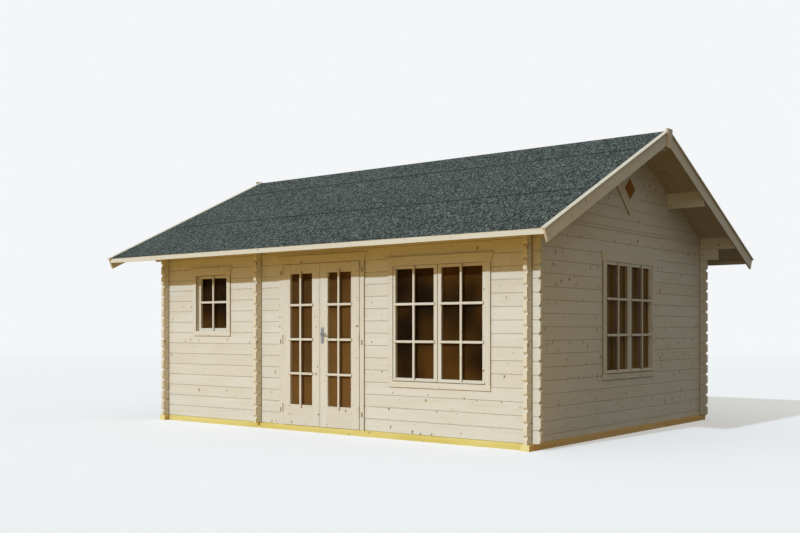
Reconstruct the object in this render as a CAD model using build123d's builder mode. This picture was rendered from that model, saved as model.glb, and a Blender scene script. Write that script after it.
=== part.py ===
"""A timber log cabin with a saddle roof, a glazed double door and three framed windows.

X runs along the front to the right, Y towards the back and Z up. The origin is on the ground, under
the middle of the plan, and the front faces -Y.
"""
import os
from math import cos, radians, sin, sqrt, tan

from build123d import *

# Logs and walls
WALL_LENGTH = 5570          # front wall, between the outer faces of the gable walls
WALL_DEPTH = 4280           # gable wall, between the outer faces of front and back
LOG_THICKNESS = 45
LOG_HEIGHT = 135
FULL_LOGS = 16              # whole logs in the front wall, below its bevelled top log
TOP_LOG_HEIGHT = 130        # bevelled top log, on its outer face
LOG_END = 95                # log ends beyond the crossing wall
GROOVE_DEPTH = 5
GROOVE_HALF_HEIGHT = 6
TIP_NOTCH = 25              # notch in the log tips at each joint
LOWER_CORBEL = 240          # last whole front log, beyond the gable wall
STRIP_HEIGHT = 32           # strip between gable wall and gable triangle
STRIP_PROUD = 3
# Lengths of the front logs between corners, openings and partition, from left to right
FRONT_PIERS = (575, 539, 354, 416, 511)
PASSAGE_CENTRE = -900
PASSAGE_WIDTH = 800
PASSAGE_LOGS = 14           # height of the inner doorway in logs, past the first half log

# Foundation and floor
BEAM_WIDTH = 95
BEAM_HEIGHT = 65
JOIST_WIDTH = 60
FLOOR_THICKNESS = 28
FLOOR_GAP = 5

# Roof
ROOF_PITCH = 25.5
EAVE_OVERHANG = 555         # wall face to the front of the fascia
GABLE_OVERHANG = 475        # wall face to the outer face of the bargeboard
BOARD_THICKNESS = 19
FELT_THICKNESS = 3
FELT_DRIP = 4
FELT_LAP = 100
FELT_SEAMS = (600, 1885)    # seams down the slope, from the ridge
RIDGE_FELT_WIDTH = 150      # to each side of the ridge
FASCIA_HEIGHT = 57
TRIM_THICKNESS = 20         # fascias and bargeboards
BARGEBOARD_WIDTH = 132
COVER_STRIP_WIDTH = 60
COVER_STRIP_THICKNESS = 10
COVER_STRIP_PROUD = 21      # past the outer face of the bargeboard
APEX_PLATE_WIDTH = 130      # at its top
APEX_PLATE_FOOT = 40
APEX_PLATE_HEIGHT = 190
APEX_PLATE_THICKNESS = 26
APEX_PLATE_RISE = 10        # above the cover strips at the ridge
PURLIN_WIDTH = 45
PURLIN_HEIGHT = 184         # on its higher side
MID_PURLIN_FACE = 1095      # ridge to the near face of a middle purlin

# Windows and casings
CASING_WIDTH = 62
CASING_THICKNESS = 18
HEADER_HEIGHT = 96
HEADER_FLARE = 35           # each end of a header, wider at its top
LINING_THICKNESS = 27
SILL_LINING = 23
HEAD_LINING = 82
LINING_DEPTH = 60
STOP_WIDTH = 15
OPENING_TOP_LOGS = 14       # logs below the top of the openings
WIDE_WINDOW_WIDTH = 1250
WIDE_WINDOW_LOGS = 4        # logs below it
SMALL_WINDOW_WIDTH = 630
SMALL_WINDOW_LOGS = 8
SMALL_LINING_DEPTH = 75
SASH_GAP = 3
SASH_MEETING_GAP = 4
SASH_THICKNESS = 42
SASH_PROUD = 12             # wide sashes, in front of the wall face
SASH_STILE = 32
MEETING_STILE = 46
SASH_RAIL = 32
SMALL_SASH_RECESS = 32
SMALL_SASH_FRAME = 36
SMALL_SASH_THICKNESS = 40
GLASS_THICKNESS = 4
GLASS_SET_BACK = 34         # face of a sash or leaf to the face of its glass
SMALL_GLASS_SET_BACK = 30
DIAMOND_RISE = 470.5        # bottom of the gable triangle to the middle of the diamond light
DIAMOND_HALF_WIDTH = 137
DIAMOND_HALF_HEIGHT = 125
DIAMOND_BOARD = 2.4         # size of the casing round it, outer over inner

# Double door
DOOR_WIDTH = 1250
DOOR_GAP = 5
LEAF_THICKNESS = 42
LEAF_PROUD = 22
LEAF_STILE = 118.5
LEAF_BEVEL = 4              # meeting edges, so that one leaf passes the other
LEAF_BOTTOM_RAIL = 238
LEAF_TOP_RAIL = 111
DOOR_STOP_RECESS = 25       # wall face to the stops behind the leaves
DOOR_STOP = 13
HEAD_STOP = 27
THRESHOLD_HEIGHT = 30
HINGE_HEIGHTS = (195, 1000, 1812)       # bottom of the leaf to the middle of each hinge
HINGE_LENGTH = 104
HINGE_RADIUS = 7.5
HINGE_PIN_RADIUS = 4
HINGE_CLEARANCE = 0.3
HINGE_OUT = 30              # hinge axis, in front of the wall face
FLAP_THICKNESS = 2.5
FLAP_WIDTH = 40
HANDLE_INSET = 39.5         # free edge of the leaf to the middle of the handle plate
HANDLE_PLATE = (42, 185, 4)
PLATE_ABOVE_LEVER = 76      # lever's middle to the top of its plate
LEVER_HEIGHT = 1066         # bottom of the leaf to the lever's middle
LEVER_REACH = 88
LEVER_OUT = 46
LEVER_RADIUS = 8
KEYHOLE_RADIUS = 9

# Places worked out from the sizes above
HALF_LENGTH = WALL_LENGTH / 2
HALF_DEPTH = WALL_DEPTH / 2
FRONT_OPENINGS = SMALL_WINDOW_WIDTH + DOOR_WIDTH + WIDE_WINDOW_WIDTH
PIER_STRETCH = (WALL_LENGTH - LOG_THICKNESS - FRONT_OPENINGS) / sum(FRONT_PIERS)
PIERS = [pier * PIER_STRETCH for pier in FRONT_PIERS]
SMALL_WINDOW_CENTRE = PIERS[0] + SMALL_WINDOW_WIDTH / 2 - HALF_LENGTH
PARTITION_CENTRE = SMALL_WINDOW_CENTRE + SMALL_WINDOW_WIDTH / 2 + PIERS[1] + LOG_THICKNESS / 2
WIDE_WINDOW_CENTRE = HALF_LENGTH - PIERS[4] - WIDE_WINDOW_WIDTH / 2
DOOR_CENTRE = WIDE_WINDOW_CENTRE - WIDE_WINDOW_WIDTH / 2 - PIERS[3] - DOOR_WIDTH / 2
GABLE_CENTRE = HALF_LENGTH - LOG_THICKNESS / 2
FRONT_CENTRE = HALF_DEPTH - LOG_THICKNESS / 2
PARTITION_FACE = PARTITION_CENTRE + LOG_THICKNESS / 2
INNER_DEPTH = HALF_DEPTH - LOG_THICKNESS
INNER_LENGTH = HALF_LENGTH - LOG_THICKNESS
LOG_BASE = BEAM_HEIGHT
GABLE_JOINT = LOG_BASE + LOG_HEIGHT / 2
WALL_TOP = LOG_BASE + FULL_LOGS * LOG_HEIGHT
GABLE_TOP = WALL_TOP + LOG_HEIGHT / 2
TRIANGLE_BASE = GABLE_TOP + STRIP_HEIGHT
DIAMOND_HEIGHT = TRIANGLE_BASE + DIAMOND_RISE
OPENING_TOP = LOG_BASE + OPENING_TOP_LOGS * LOG_HEIGHT
ROOF_SLOPE = tan(radians(ROOF_PITCH))
ROOF_SIN = sin(radians(ROOF_PITCH))
ROOF_COS = cos(radians(ROOF_PITCH))
RIDGE_UNDERSIDE = WALL_TOP + TOP_LOG_HEIGHT + HALF_DEPTH * ROOF_SLOPE
EAVE = HALF_DEPTH + EAVE_OVERHANG
GABLE_OUT = HALF_LENGTH + GABLE_OVERHANG
ROOF_HALF_LENGTH = GABLE_OUT - TRIM_THICKNESS
FELT_TOP = BOARD_THICKNESS + FELT_THICKNESS
FRONT = Plane.XZ.offset(HALF_DEPTH)
RIGHT_GABLE = Plane.YZ.offset(HALF_LENGTH)
PURLIN_CENTRES = (0, MID_PURLIN_FACE + PURLIN_WIDTH / 2, -MID_PURLIN_FACE - PURLIN_WIDTH / 2)

os.makedirs("parts", exist_ok=True)


def save(builder, name):
    """Label a finished piece and write it."""
    builder.part.label = name
    export_step(builder.part, f"parts/{name}.step")


def outline(*points, mode=Mode.ADD):
    """A face with straight sides in the sketch being drawn."""
    Polygon(*points, align=None, mode=mode)


def upright(centre, width, bottom, top, mode=Mode.ADD):
    """A rectangle given by its middle, its width and two heights."""
    with Locations((centre, (bottom + top) / 2)):
        Rectangle(width, top - bottom, mode=mode)


def joints_between(bottom, top, first):
    """Heights of the log joints from bottom to top, both included."""
    count = round((top - first) / LOG_HEIGHT + 1)
    heights = [first + number * LOG_HEIGHT for number in range(count)]
    return [height for height in heights if bottom - 1 < height < top + 1]


def log_section(centre, bottom, top, first_joint):
    """Section of stacked logs: flat faces, a V groove at each joint and half of one at each end."""
    face = LOG_THICKNESS / 2
    groove = face - GROOVE_DEPTH
    clear = 2 * GROOVE_HALF_HEIGHT
    side = [(groove, bottom), (face, bottom + GROOVE_HALF_HEIGHT)]
    for joint in joints_between(bottom, top, first_joint):
        if bottom + clear < joint < top - clear:
            side += [(face, joint - GROOVE_HALF_HEIGHT), (groove, joint), (face, joint + GROOVE_HALF_HEIGHT)]
    side += [(face, top - GROOVE_HALF_HEIGHT), (groove, top)]
    right = [(centre + out, height) for out, height in side]
    left = [(centre - out, height) for out, height in reversed(side)]
    outline(*right, *left)


def logs_along_x(centre, start, end, bottom, top):
    """Logs of the front or back wall."""
    with BuildSketch(Plane.YZ.offset(start)) as section:
        log_section(centre, bottom, top, LOG_BASE)
    extrude(section.sketch, amount=end - start)


def logs_along_y(centre, start, end, bottom, top):
    """Logs of a gable or of the partition, half a log higher than those of the front wall."""
    with BuildSketch(Plane.XZ.offset(-end)) as section:
        log_section(centre, bottom, top, GABLE_JOINT)
    extrude(section.sketch, amount=end - start)


def cut_front_crossings(centre, crossings, bottom, top):
    """Notches a quarter of a log deep, above and below each joint, for the logs that cross here."""
    joints = joints_between(bottom, top, LOG_BASE)
    with Locations(*[(x, centre, joint) for x in crossings for joint in joints]):
        Box(LOG_THICKNESS, 2 * LOG_THICKNESS, LOG_HEIGHT / 2, mode=Mode.SUBTRACT)


def cut_gable_crossings(centre, crossings, bottom, top):
    """The same notches in a wall that runs from front to back."""
    joints = joints_between(bottom, top, GABLE_JOINT)
    with Locations(*[(centre, y, joint) for y in crossings for joint in joints]):
        Box(2 * LOG_THICKNESS, LOG_THICKNESS, LOG_HEIGHT / 2, mode=Mode.SUBTRACT)


def cut_log_tips(plane, tips, joints):
    """Corners off the log tips, which leaves a V at each joint."""
    side = TIP_NOTCH * sqrt(2)
    with BuildSketch(plane) as corners:
        with Locations(*[(tip, joint) for tip in tips for joint in joints]):
            Rectangle(side, side, rotation=45)
    extrude(corners.sketch, amount=LOG_THICKNESS, both=True, mode=Mode.SUBTRACT)


def roof_height(y, lift=0):
    """Height of the roof boards' underside at y, or of a plane lifted square to the slope."""
    return RIDGE_UNDERSIDE - abs(y) * ROOF_SLOPE + lift / ROOF_COS


def slope_layer(side, low, high, end):
    """Outline of a layer on one slope, cut plumb at the ridge and at y = end."""
    outline(
        (0, roof_height(0, low)),
        (side * end, roof_height(end, low)),
        (side * end, roof_height(end, high)),
        (0, roof_height(0, high)),
    )


def square_ended_layer(side, low, high):
    """The same with its lower end cut square to the slope, past the foot of the fascia."""
    fascia_foot = BOARD_THICKNESS - FASCIA_HEIGHT * ROOF_COS
    low_end = EAVE + (low - fascia_foot) * ROOF_SIN
    high_end = EAVE + (high - fascia_foot) * ROOF_SIN
    outline(
        (0, roof_height(0, low)),
        (side * low_end, roof_height(low_end, low)),
        (side * high_end, roof_height(high_end, high)),
        (0, roof_height(0, high)),
    )


def purlin_section(centre, mode=Mode.ADD):
    """Section of a purlin: plumb sides, level bottom and a top that follows the roof."""
    near = centre - PURLIN_WIDTH / 2
    far = centre + PURLIN_WIDTH / 2
    ridge = roof_height(min(abs(near), abs(far)) if centre else 0)
    bottom = ridge - PURLIN_HEIGHT
    top = [(far, roof_height(far)), (near, roof_height(near))]
    if not centre:
        top.insert(1, (0, ridge))
    outline((near, bottom), (far, bottom), *top, mode=mode)


def gable_outline(bottom):
    """Gable triangle between the top logs of front and back, pocketed for the purlins."""
    outline(
        (-INNER_DEPTH, bottom),
        (INNER_DEPTH, bottom),
        (INNER_DEPTH, roof_height(INNER_DEPTH)),
        (0, RIDGE_UNDERSIDE),
        (-INNER_DEPTH, roof_height(INNER_DEPTH)),
    )
    for centre in PURLIN_CENTRES:
        purlin_section(centre, mode=Mode.SUBTRACT)


def diamond(scale=1, mode=Mode.ADD):
    """The diamond light, or its casing when scaled up."""
    width = DIAMOND_HALF_WIDTH * scale
    height = DIAMOND_HALF_HEIGHT * scale
    outline(
        (-width, DIAMOND_HEIGHT),
        (0, DIAMOND_HEIGHT - height),
        (width, DIAMOND_HEIGHT),
        (0, DIAMOND_HEIGHT + height),
        mode=mode,
    )


# Foundation: beams that run back under the gables, the partition and the floor, and two under the long
# walls that butt between them
side_beam_length = 2 * (HALF_DEPTH + LOG_END)
inner_beam_length = 2 * (FRONT_CENTRE - BEAM_WIDTH / 2)
joist_places = [PARTITION_CENTRE + (GABLE_CENTRE - PARTITION_CENTRE) * part / 4 for part in (1, 2, 3)]
joist_places.append((PARTITION_CENTRE - GABLE_CENTRE) / 2)
with BuildPart() as foundation_cross_beams:
    with Locations((-GABLE_CENTRE, 0, 0), (GABLE_CENTRE, 0, 0)):
        Box(BEAM_WIDTH, side_beam_length, BEAM_HEIGHT, align=(Align.CENTER, Align.CENTER, Align.MIN))
    with Locations((PARTITION_CENTRE, 0, 0)):
        Box(BEAM_WIDTH, inner_beam_length, BEAM_HEIGHT, align=(Align.CENTER, Align.CENTER, Align.MIN))
    with Locations(*[(place, 0, 0) for place in joist_places]):
        Box(JOIST_WIDTH, inner_beam_length, BEAM_HEIGHT, align=(Align.CENTER, Align.CENTER, Align.MIN))
save(foundation_cross_beams, "foundation_cross_beams")

with BuildPart() as foundation_long_beams:
    with Locations((0, -FRONT_CENTRE, 0), (0, FRONT_CENTRE, 0)):
        long_beam_length = 2 * GABLE_CENTRE - BEAM_WIDTH
        Box(long_beam_length, BEAM_WIDTH, BEAM_HEIGHT, align=(Align.CENTER, Align.CENTER, Align.MIN))
save(foundation_long_beams, "foundation_long_beams")

# Floors of the two rooms, and the board in the inner doorway between them
floor_front = LINING_DEPTH - LOG_THICKNESS + FLOOR_GAP
partition_left = PARTITION_FACE - LOG_THICKNESS
with BuildPart() as floors:
    with BuildSketch(Plane.XY.offset(BEAM_HEIGHT)):
        for left, right in (
            (-INNER_LENGTH + FLOOR_GAP, partition_left - FLOOR_GAP),
            (PARTITION_FACE + FLOOR_GAP, INNER_LENGTH - FLOOR_GAP),
        ):
            with Locations(((left + right) / 2, floor_front / 2 - FLOOR_GAP / 2)):
                Rectangle(right - left, 2 * INNER_DEPTH - floor_front - FLOOR_GAP)
        with Locations((PARTITION_CENTRE, PASSAGE_CENTRE)):
            Rectangle(LOG_THICKNESS, PASSAGE_WIDTH)
    extrude(amount=FLOOR_THICKNESS)
save(floors, "floors")

# Front wall: logs below the windows, piers beside the openings and the logs over them
wall_end = HALF_LENGTH + LOG_END
crossings = (-GABLE_CENTRE, PARTITION_CENTRE, GABLE_CENTRE)
door_left = DOOR_CENTRE - DOOR_WIDTH / 2
door_right = DOOR_CENTRE + DOOR_WIDTH / 2
window_left = WIDE_WINDOW_CENTRE - WIDE_WINDOW_WIDTH / 2
window_right = WIDE_WINDOW_CENTRE + WIDE_WINDOW_WIDTH / 2
small_left = SMALL_WINDOW_CENTRE - SMALL_WINDOW_WIDTH / 2
small_right = SMALL_WINDOW_CENTRE + SMALL_WINDOW_WIDTH / 2
small_sill = LOG_BASE + SMALL_WINDOW_LOGS * LOG_HEIGHT
wide_sill = LOG_BASE + WIDE_WINDOW_LOGS * LOG_HEIGHT
with BuildPart() as front_wall_lower_logs:
    logs_along_x(-FRONT_CENTRE, -wall_end, door_left, LOG_BASE, small_sill)
    logs_along_x(-FRONT_CENTRE, door_right, wall_end, LOG_BASE, wide_sill)
    cut_front_crossings(-FRONT_CENTRE, crossings, LOG_BASE, small_sill)
    cut_log_tips(FRONT, (-wall_end, wall_end), joints_between(LOG_BASE, small_sill, LOG_BASE))
save(front_wall_lower_logs, "front_wall_lower_logs")

with BuildPart() as front_wall_pier_logs:
    logs_along_x(-FRONT_CENTRE, -wall_end, small_left, small_sill, OPENING_TOP)
    logs_along_x(-FRONT_CENTRE, small_right, door_left, small_sill, OPENING_TOP)
    logs_along_x(-FRONT_CENTRE, door_right, window_left, wide_sill, OPENING_TOP)
    logs_along_x(-FRONT_CENTRE, window_right, wall_end, wide_sill, OPENING_TOP)
    cut_front_crossings(-FRONT_CENTRE, crossings, wide_sill, OPENING_TOP)
    cut_log_tips(FRONT, (-wall_end, wall_end), joints_between(wide_sill, OPENING_TOP, LOG_BASE))
save(front_wall_pier_logs, "front_wall_pier_logs")


def top_logs(side):
    """The last two whole logs, of which the upper runs out as a corbel, and the bevelled top log."""
    centre = side * FRONT_CENTRE
    corbel = HALF_LENGTH + LOWER_CORBEL
    logs_along_x(centre, -wall_end, wall_end, OPENING_TOP, WALL_TOP - LOG_HEIGHT)
    logs_along_x(centre, -corbel, corbel, WALL_TOP - LOG_HEIGHT, WALL_TOP)
    with BuildSketch(Plane.YZ.offset(-ROOF_HALF_LENGTH)) as section:
        outline(
            (side * (HALF_DEPTH - GROOVE_DEPTH), WALL_TOP),
            (side * HALF_DEPTH, WALL_TOP + GROOVE_HALF_HEIGHT),
            (side * HALF_DEPTH, roof_height(HALF_DEPTH)),
            (side * INNER_DEPTH, roof_height(INNER_DEPTH)),
            (side * INNER_DEPTH, WALL_TOP + GROOVE_HALF_HEIGHT),
            (side * (INNER_DEPTH + GROOVE_DEPTH), WALL_TOP),
        )
    extrude(section.sketch, amount=2 * ROOF_HALF_LENGTH)


with BuildPart() as front_wall_upper_logs:
    top_logs(-1)
    cut_front_crossings(-FRONT_CENTRE, crossings, OPENING_TOP, WALL_TOP)
    cut_log_tips(FRONT, (-wall_end, wall_end), (OPENING_TOP,))
save(front_wall_upper_logs, "front_wall_upper_logs")

with BuildPart() as back_wall_upper_logs:
    top_logs(1)
    cut_front_crossings(FRONT_CENTRE, crossings, OPENING_TOP, WALL_TOP)
    cut_log_tips(Plane.XZ.offset(-HALF_DEPTH), (-wall_end, wall_end), (OPENING_TOP,))
save(back_wall_upper_logs, "back_wall_upper_logs")

with BuildPart() as back_wall:
    logs_along_x(FRONT_CENTRE, -wall_end, wall_end, LOG_BASE, OPENING_TOP)
    cut_front_crossings(FRONT_CENTRE, crossings, LOG_BASE, OPENING_TOP)
    back_joints = joints_between(LOG_BASE, OPENING_TOP, LOG_BASE)
    cut_log_tips(Plane.XZ.offset(-HALF_DEPTH), (-wall_end, wall_end), back_joints)
save(back_wall, "back_wall")

# Gable walls: the left one is plain, the right one has the wide window
gable_end = HALF_DEPTH + LOG_END
long_walls = (-FRONT_CENTRE, FRONT_CENTRE)
gable_sill = wide_sill + LOG_HEIGHT / 2
gable_opening_top = OPENING_TOP + LOG_HEIGHT / 2
with BuildPart() as left_gable_wall:
    logs_along_y(-GABLE_CENTRE, -gable_end, gable_end, LOG_BASE, GABLE_TOP)
    cut_gable_crossings(-GABLE_CENTRE, long_walls, LOG_BASE, GABLE_TOP)
    left_gable_joints = joints_between(LOG_BASE, GABLE_TOP, GABLE_JOINT)
    cut_log_tips(Plane.YZ.offset(-GABLE_CENTRE), (-gable_end, gable_end), left_gable_joints)
save(left_gable_wall, "left_gable_wall")

whole_gable = ((-gable_end, gable_end),)
gable_piers = ((-gable_end, -WIDE_WINDOW_WIDTH / 2), (WIDE_WINDOW_WIDTH / 2, gable_end))
gable_sections = {
    "right_gable_lower_logs": (whole_gable, LOG_BASE, gable_sill),
    "right_gable_pier_logs": (gable_piers, gable_sill, gable_opening_top),
    "right_gable_upper_logs": (whole_gable, gable_opening_top, GABLE_TOP),
}
for name, (runs, bottom, top) in gable_sections.items():
    with BuildPart() as right_gable_logs:
        for start, end in runs:
            logs_along_y(GABLE_CENTRE, start, end, bottom, top)
        cut_gable_crossings(GABLE_CENTRE, long_walls, bottom, top)
        tip_joints = joints_between(bottom, top, GABLE_JOINT)
        cut_log_tips(Plane.YZ.offset(GABLE_CENTRE), (-gable_end, gable_end), tip_joints)
    save(right_gable_logs, name)

# Partition: its log ends show in the front, and an inner doorway joins the rooms
passage_front = PASSAGE_CENTRE - PASSAGE_WIDTH / 2
passage_rear = PASSAGE_CENTRE + PASSAGE_WIDTH / 2
passage_top = GABLE_JOINT + PASSAGE_LOGS * LOG_HEIGHT
for name, start, end in (
    ("partition_wall_front", -gable_end, passage_front),
    ("partition_wall_rear", passage_rear, gable_end),
):
    with BuildPart() as partition_pier:
        logs_along_y(PARTITION_CENTRE, start, end, LOG_BASE, passage_top)
        cut_gable_crossings(PARTITION_CENTRE, long_walls, LOG_BASE, passage_top)
        pier_joints = joints_between(LOG_BASE, passage_top, GABLE_JOINT)
        cut_log_tips(Plane.YZ.offset(PARTITION_CENTRE), (-gable_end, gable_end), pier_joints)
    save(partition_pier, name)

with BuildPart() as partition_wall_top:
    logs_along_y(PARTITION_CENTRE, -gable_end, gable_end, passage_top, RIDGE_UNDERSIDE)
    with BuildSketch(Plane.YZ.offset(PARTITION_CENTRE)):
        gable_outline(passage_top)
        upright(0, 2 * gable_end, passage_top, GABLE_TOP)
    extrude(amount=LOG_THICKNESS, both=True, mode=Mode.INTERSECT)
    cut_gable_crossings(PARTITION_CENTRE, long_walls, passage_top, GABLE_TOP)
    top_joints = joints_between(passage_top, GABLE_TOP, GABLE_JOINT)
    cut_log_tips(Plane.YZ.offset(PARTITION_CENTRE), (-gable_end, gable_end), top_joints)
save(partition_wall_top, "partition_wall_top")

# Gable triangles, each over a strip and with the diamond light cut through
for name, side in (("left_gable_triangle", -1), ("right_gable_triangle", 1)):
    with BuildPart() as gable_triangle:
        with BuildSketch(Plane.XZ):
            log_section(side * GABLE_CENTRE, TRIANGLE_BASE, RIDGE_UNDERSIDE, GABLE_JOINT)
        extrude(amount=HALF_DEPTH, both=True)
        with BuildSketch(Plane.YZ.offset(side * GABLE_CENTRE)):
            gable_outline(TRIANGLE_BASE)
            diamond(mode=Mode.SUBTRACT)
        extrude(amount=LOG_THICKNESS, both=True, mode=Mode.INTERSECT)
    save(gable_triangle, name)

with BuildPart() as gable_strips:
    with Locations((-GABLE_CENTRE, 0, GABLE_TOP), (GABLE_CENTRE, 0, GABLE_TOP)):
        Box(
            LOG_THICKNESS + 2 * STRIP_PROUD,
            2 * INNER_DEPTH,
            STRIP_HEIGHT,
            align=(Align.CENTER, Align.CENTER, Align.MIN),
        )
save(gable_strips, "gable_strips")

with BuildPart() as diamond_casings:
    for plane in (Plane.YZ.offset(-HALF_LENGTH - CASING_THICKNESS), Plane.YZ.offset(HALF_LENGTH)):
        with BuildSketch(plane):
            diamond(DIAMOND_BOARD)
            diamond(mode=Mode.SUBTRACT)
        extrude(amount=CASING_THICKNESS)
save(diamond_casings, "diamond_casings")

# Roof: purlins, boards, felt in lapped strips and the felt over the ridge
with BuildPart() as purlins:
    with BuildSketch(Plane.YZ.offset(-ROOF_HALF_LENGTH)):
        for centre in PURLIN_CENTRES:
            purlin_section(centre)
    extrude(amount=2 * ROOF_HALF_LENGTH)
save(purlins, "purlins")

for name, side in (("roof_boards_front", -1), ("roof_boards_rear", 1)):
    with BuildPart() as roof_boards:
        with BuildSketch(Plane.YZ.offset(-ROOF_HALF_LENGTH)):
            slope_layer(side, 0, BOARD_THICKNESS, EAVE - TRIM_THICKNESS)
        extrude(amount=2 * ROOF_HALF_LENGTH)
    save(roof_boards, name)

lap_half_length = GABLE_OUT + COVER_STRIP_PROUD - COVER_STRIP_WIDTH
for name, side in (("roof_felt_front", -1), ("roof_felt_rear", 1)):
    with BuildPart() as roof_felt:
        with BuildSketch(Plane.YZ.offset(-GABLE_OUT)):
            slope_layer(side, BOARD_THICKNESS, FELT_TOP, EAVE + FELT_DRIP)
        extrude(amount=2 * GABLE_OUT)
        with BuildSketch(Plane.YZ.offset(-lap_half_length)):
            for seam in FELT_SEAMS:
                foot = seam * ROOF_COS
                start = foot - FELT_LAP * ROOF_COS
                outline(
                    (side * start, roof_height(start, FELT_TOP)),
                    (side * foot, roof_height(foot, FELT_TOP)),
                    (side * foot, roof_height(foot, FELT_TOP + FELT_THICKNESS)),
                )
        extrude(amount=2 * lap_half_length)
    save(roof_felt, name)

with BuildPart() as ridge_felt:
    reach = RIDGE_FELT_WIDTH * ROOF_COS
    with BuildSketch(Plane.YZ.offset(-lap_half_length)):
        for side in (-1, 1):
            slope_layer(side, FELT_TOP, FELT_TOP + FELT_THICKNESS, reach)
    extrude(amount=2 * lap_half_length)
save(ridge_felt, "ridge_felt")

with BuildPart() as eave_fascias:
    with BuildSketch(Plane.YZ.offset(-ROOF_HALF_LENGTH)):
        fascia_foot_height = roof_height(EAVE, BOARD_THICKNESS) - FASCIA_HEIGHT
        for side in (-1, 1):
            outline(
                (side * (EAVE - TRIM_THICKNESS), fascia_foot_height),
                (side * EAVE, fascia_foot_height),
                (side * EAVE, roof_height(EAVE, BOARD_THICKNESS)),
                (side * (EAVE - TRIM_THICKNESS), roof_height(EAVE - TRIM_THICKNESS, BOARD_THICKNESS)),
            )
    extrude(amount=2 * ROOF_HALF_LENGTH)
save(eave_fascias, "eave_fascias")

# Gable trim: bargeboards, strips over the felt's edge and the plates over the apex joints
apex_top = roof_height(0, FELT_TOP + COVER_STRIP_THICKNESS) + APEX_PLATE_RISE


def apex_plate_pair(mode=Mode.ADD):
    """A plate at each end of the ridge, narrower at its foot, in the part being built."""
    for start in (-GABLE_OUT - APEX_PLATE_THICKNESS, GABLE_OUT):
        with BuildSketch(Plane.YZ.offset(start)) as plate:
            outline(
                (-APEX_PLATE_FOOT / 2, apex_top - APEX_PLATE_HEIGHT),
                (APEX_PLATE_FOOT / 2, apex_top - APEX_PLATE_HEIGHT),
                (APEX_PLATE_WIDTH / 2, apex_top),
                (-APEX_PLATE_WIDTH / 2, apex_top),
            )
        extrude(plate.sketch, amount=APEX_PLATE_THICKNESS, mode=mode)


trim = {
    "bargeboards": (BOARD_THICKNESS - BARGEBOARD_WIDTH, BOARD_THICKNESS, TRIM_THICKNESS, 0),
    "cover_strips": (FELT_TOP, FELT_TOP + COVER_STRIP_THICKNESS, COVER_STRIP_WIDTH, COVER_STRIP_PROUD),
}
for kind, (low, high, width, proud) in trim.items():
    outer = GABLE_OUT + proud
    for place, side in (("front", -1), ("rear", 1)):
        with BuildPart() as gable_trim:
            for start in (-outer, outer - width):
                with BuildSketch(Plane.YZ.offset(start)):
                    square_ended_layer(side, low, high)
                extrude(amount=width)
            if proud:
                apex_plate_pair(Mode.SUBTRACT)
        save(gable_trim, f"{place}_{kind}")

with BuildPart() as apex_plates:
    apex_plate_pair()
save(apex_plates, "apex_plates")


def header(outside, centre, width, bottom):
    """Board over an opening, with ends that flare outwards to its top."""
    with BuildSketch(outside) as board:
        outline(
            (centre - width / 2, bottom),
            (centre + width / 2, bottom),
            (centre + width / 2 + HEADER_FLARE, bottom + HEADER_HEIGHT),
            (centre - width / 2 - HEADER_FLARE, bottom + HEADER_HEIGHT),
        )
    extrude(board.sketch, amount=CASING_THICKNESS)


def window_surround(outside, centre, width, bottom, top, depth):
    """Lining through the wall, casing boards on its face and the header."""
    inner = width - 2 * LINING_THICKNESS
    sill = bottom + SILL_LINING
    head = top - HEAD_LINING
    with BuildSketch(outside) as lining:
        upright(centre, width, bottom, top)
        upright(centre, inner, sill, head, mode=Mode.SUBTRACT)
    extrude(lining.sketch, amount=-depth)
    with BuildSketch(outside) as casing:
        upright(centre, inner + 2 * CASING_WIDTH, sill - CASING_WIDTH, head)
        upright(centre, inner, sill, head, mode=Mode.SUBTRACT)
    extrude(casing.sketch, amount=CASING_THICKNESS)
    header(outside, centre, inner + 2 * CASING_WIDTH, head)


def window_stop(outside, centre, width, bottom, top):
    """Rebate behind the wide sashes, which they close against."""
    inner = width - 2 * LINING_THICKNESS
    sill = bottom + SILL_LINING
    head = top - HEAD_LINING
    with BuildSketch(outside.offset(SASH_PROUD - SASH_THICKNESS)) as stop:
        upright(centre, inner, sill, head)
        upright(centre, inner - 2 * STOP_WIDTH, sill + STOP_WIDTH, head - STOP_WIDTH, mode=Mode.SUBTRACT)
    extrude(stop.sketch, amount=SASH_THICKNESS - SASH_PROUD - LINING_DEPTH)


def wide_sashes(width, bottom, top):
    """Left edge, right edge, bottom and top of the two sashes, and of the glass that each holds."""
    inner = width - 2 * LINING_THICKNESS
    edges = (-inner / 2 + SASH_GAP, -SASH_MEETING_GAP / 2)
    low = bottom + SILL_LINING + SASH_GAP
    high = top - HEAD_LINING - SASH_GAP
    left = (edges[0], edges[1], low, high)
    left_glass = (edges[0] + SASH_STILE, edges[1] - MEETING_STILE, low + SASH_RAIL, high - SASH_RAIL)
    right = (-edges[1], -edges[0], low, high)
    right_glass = (-left_glass[1], -left_glass[0], low + SASH_RAIL, high - SASH_RAIL)
    return ((left, left_glass), (right, right_glass))


def pane(centre, box, mode=Mode.ADD):
    """A rectangle given by its edges, beside the middle of its window."""
    left, right, bottom, top = box
    upright(centre + (left + right) / 2, right - left, bottom, top, mode=mode)


# Windows: surrounds, sashes and panes
with BuildPart() as front_window_surround:
    window_surround(FRONT, WIDE_WINDOW_CENTRE, WIDE_WINDOW_WIDTH, wide_sill, OPENING_TOP, LINING_DEPTH)
    window_stop(FRONT, WIDE_WINDOW_CENTRE, WIDE_WINDOW_WIDTH, wide_sill, OPENING_TOP)
save(front_window_surround, "front_window_surround")

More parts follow.
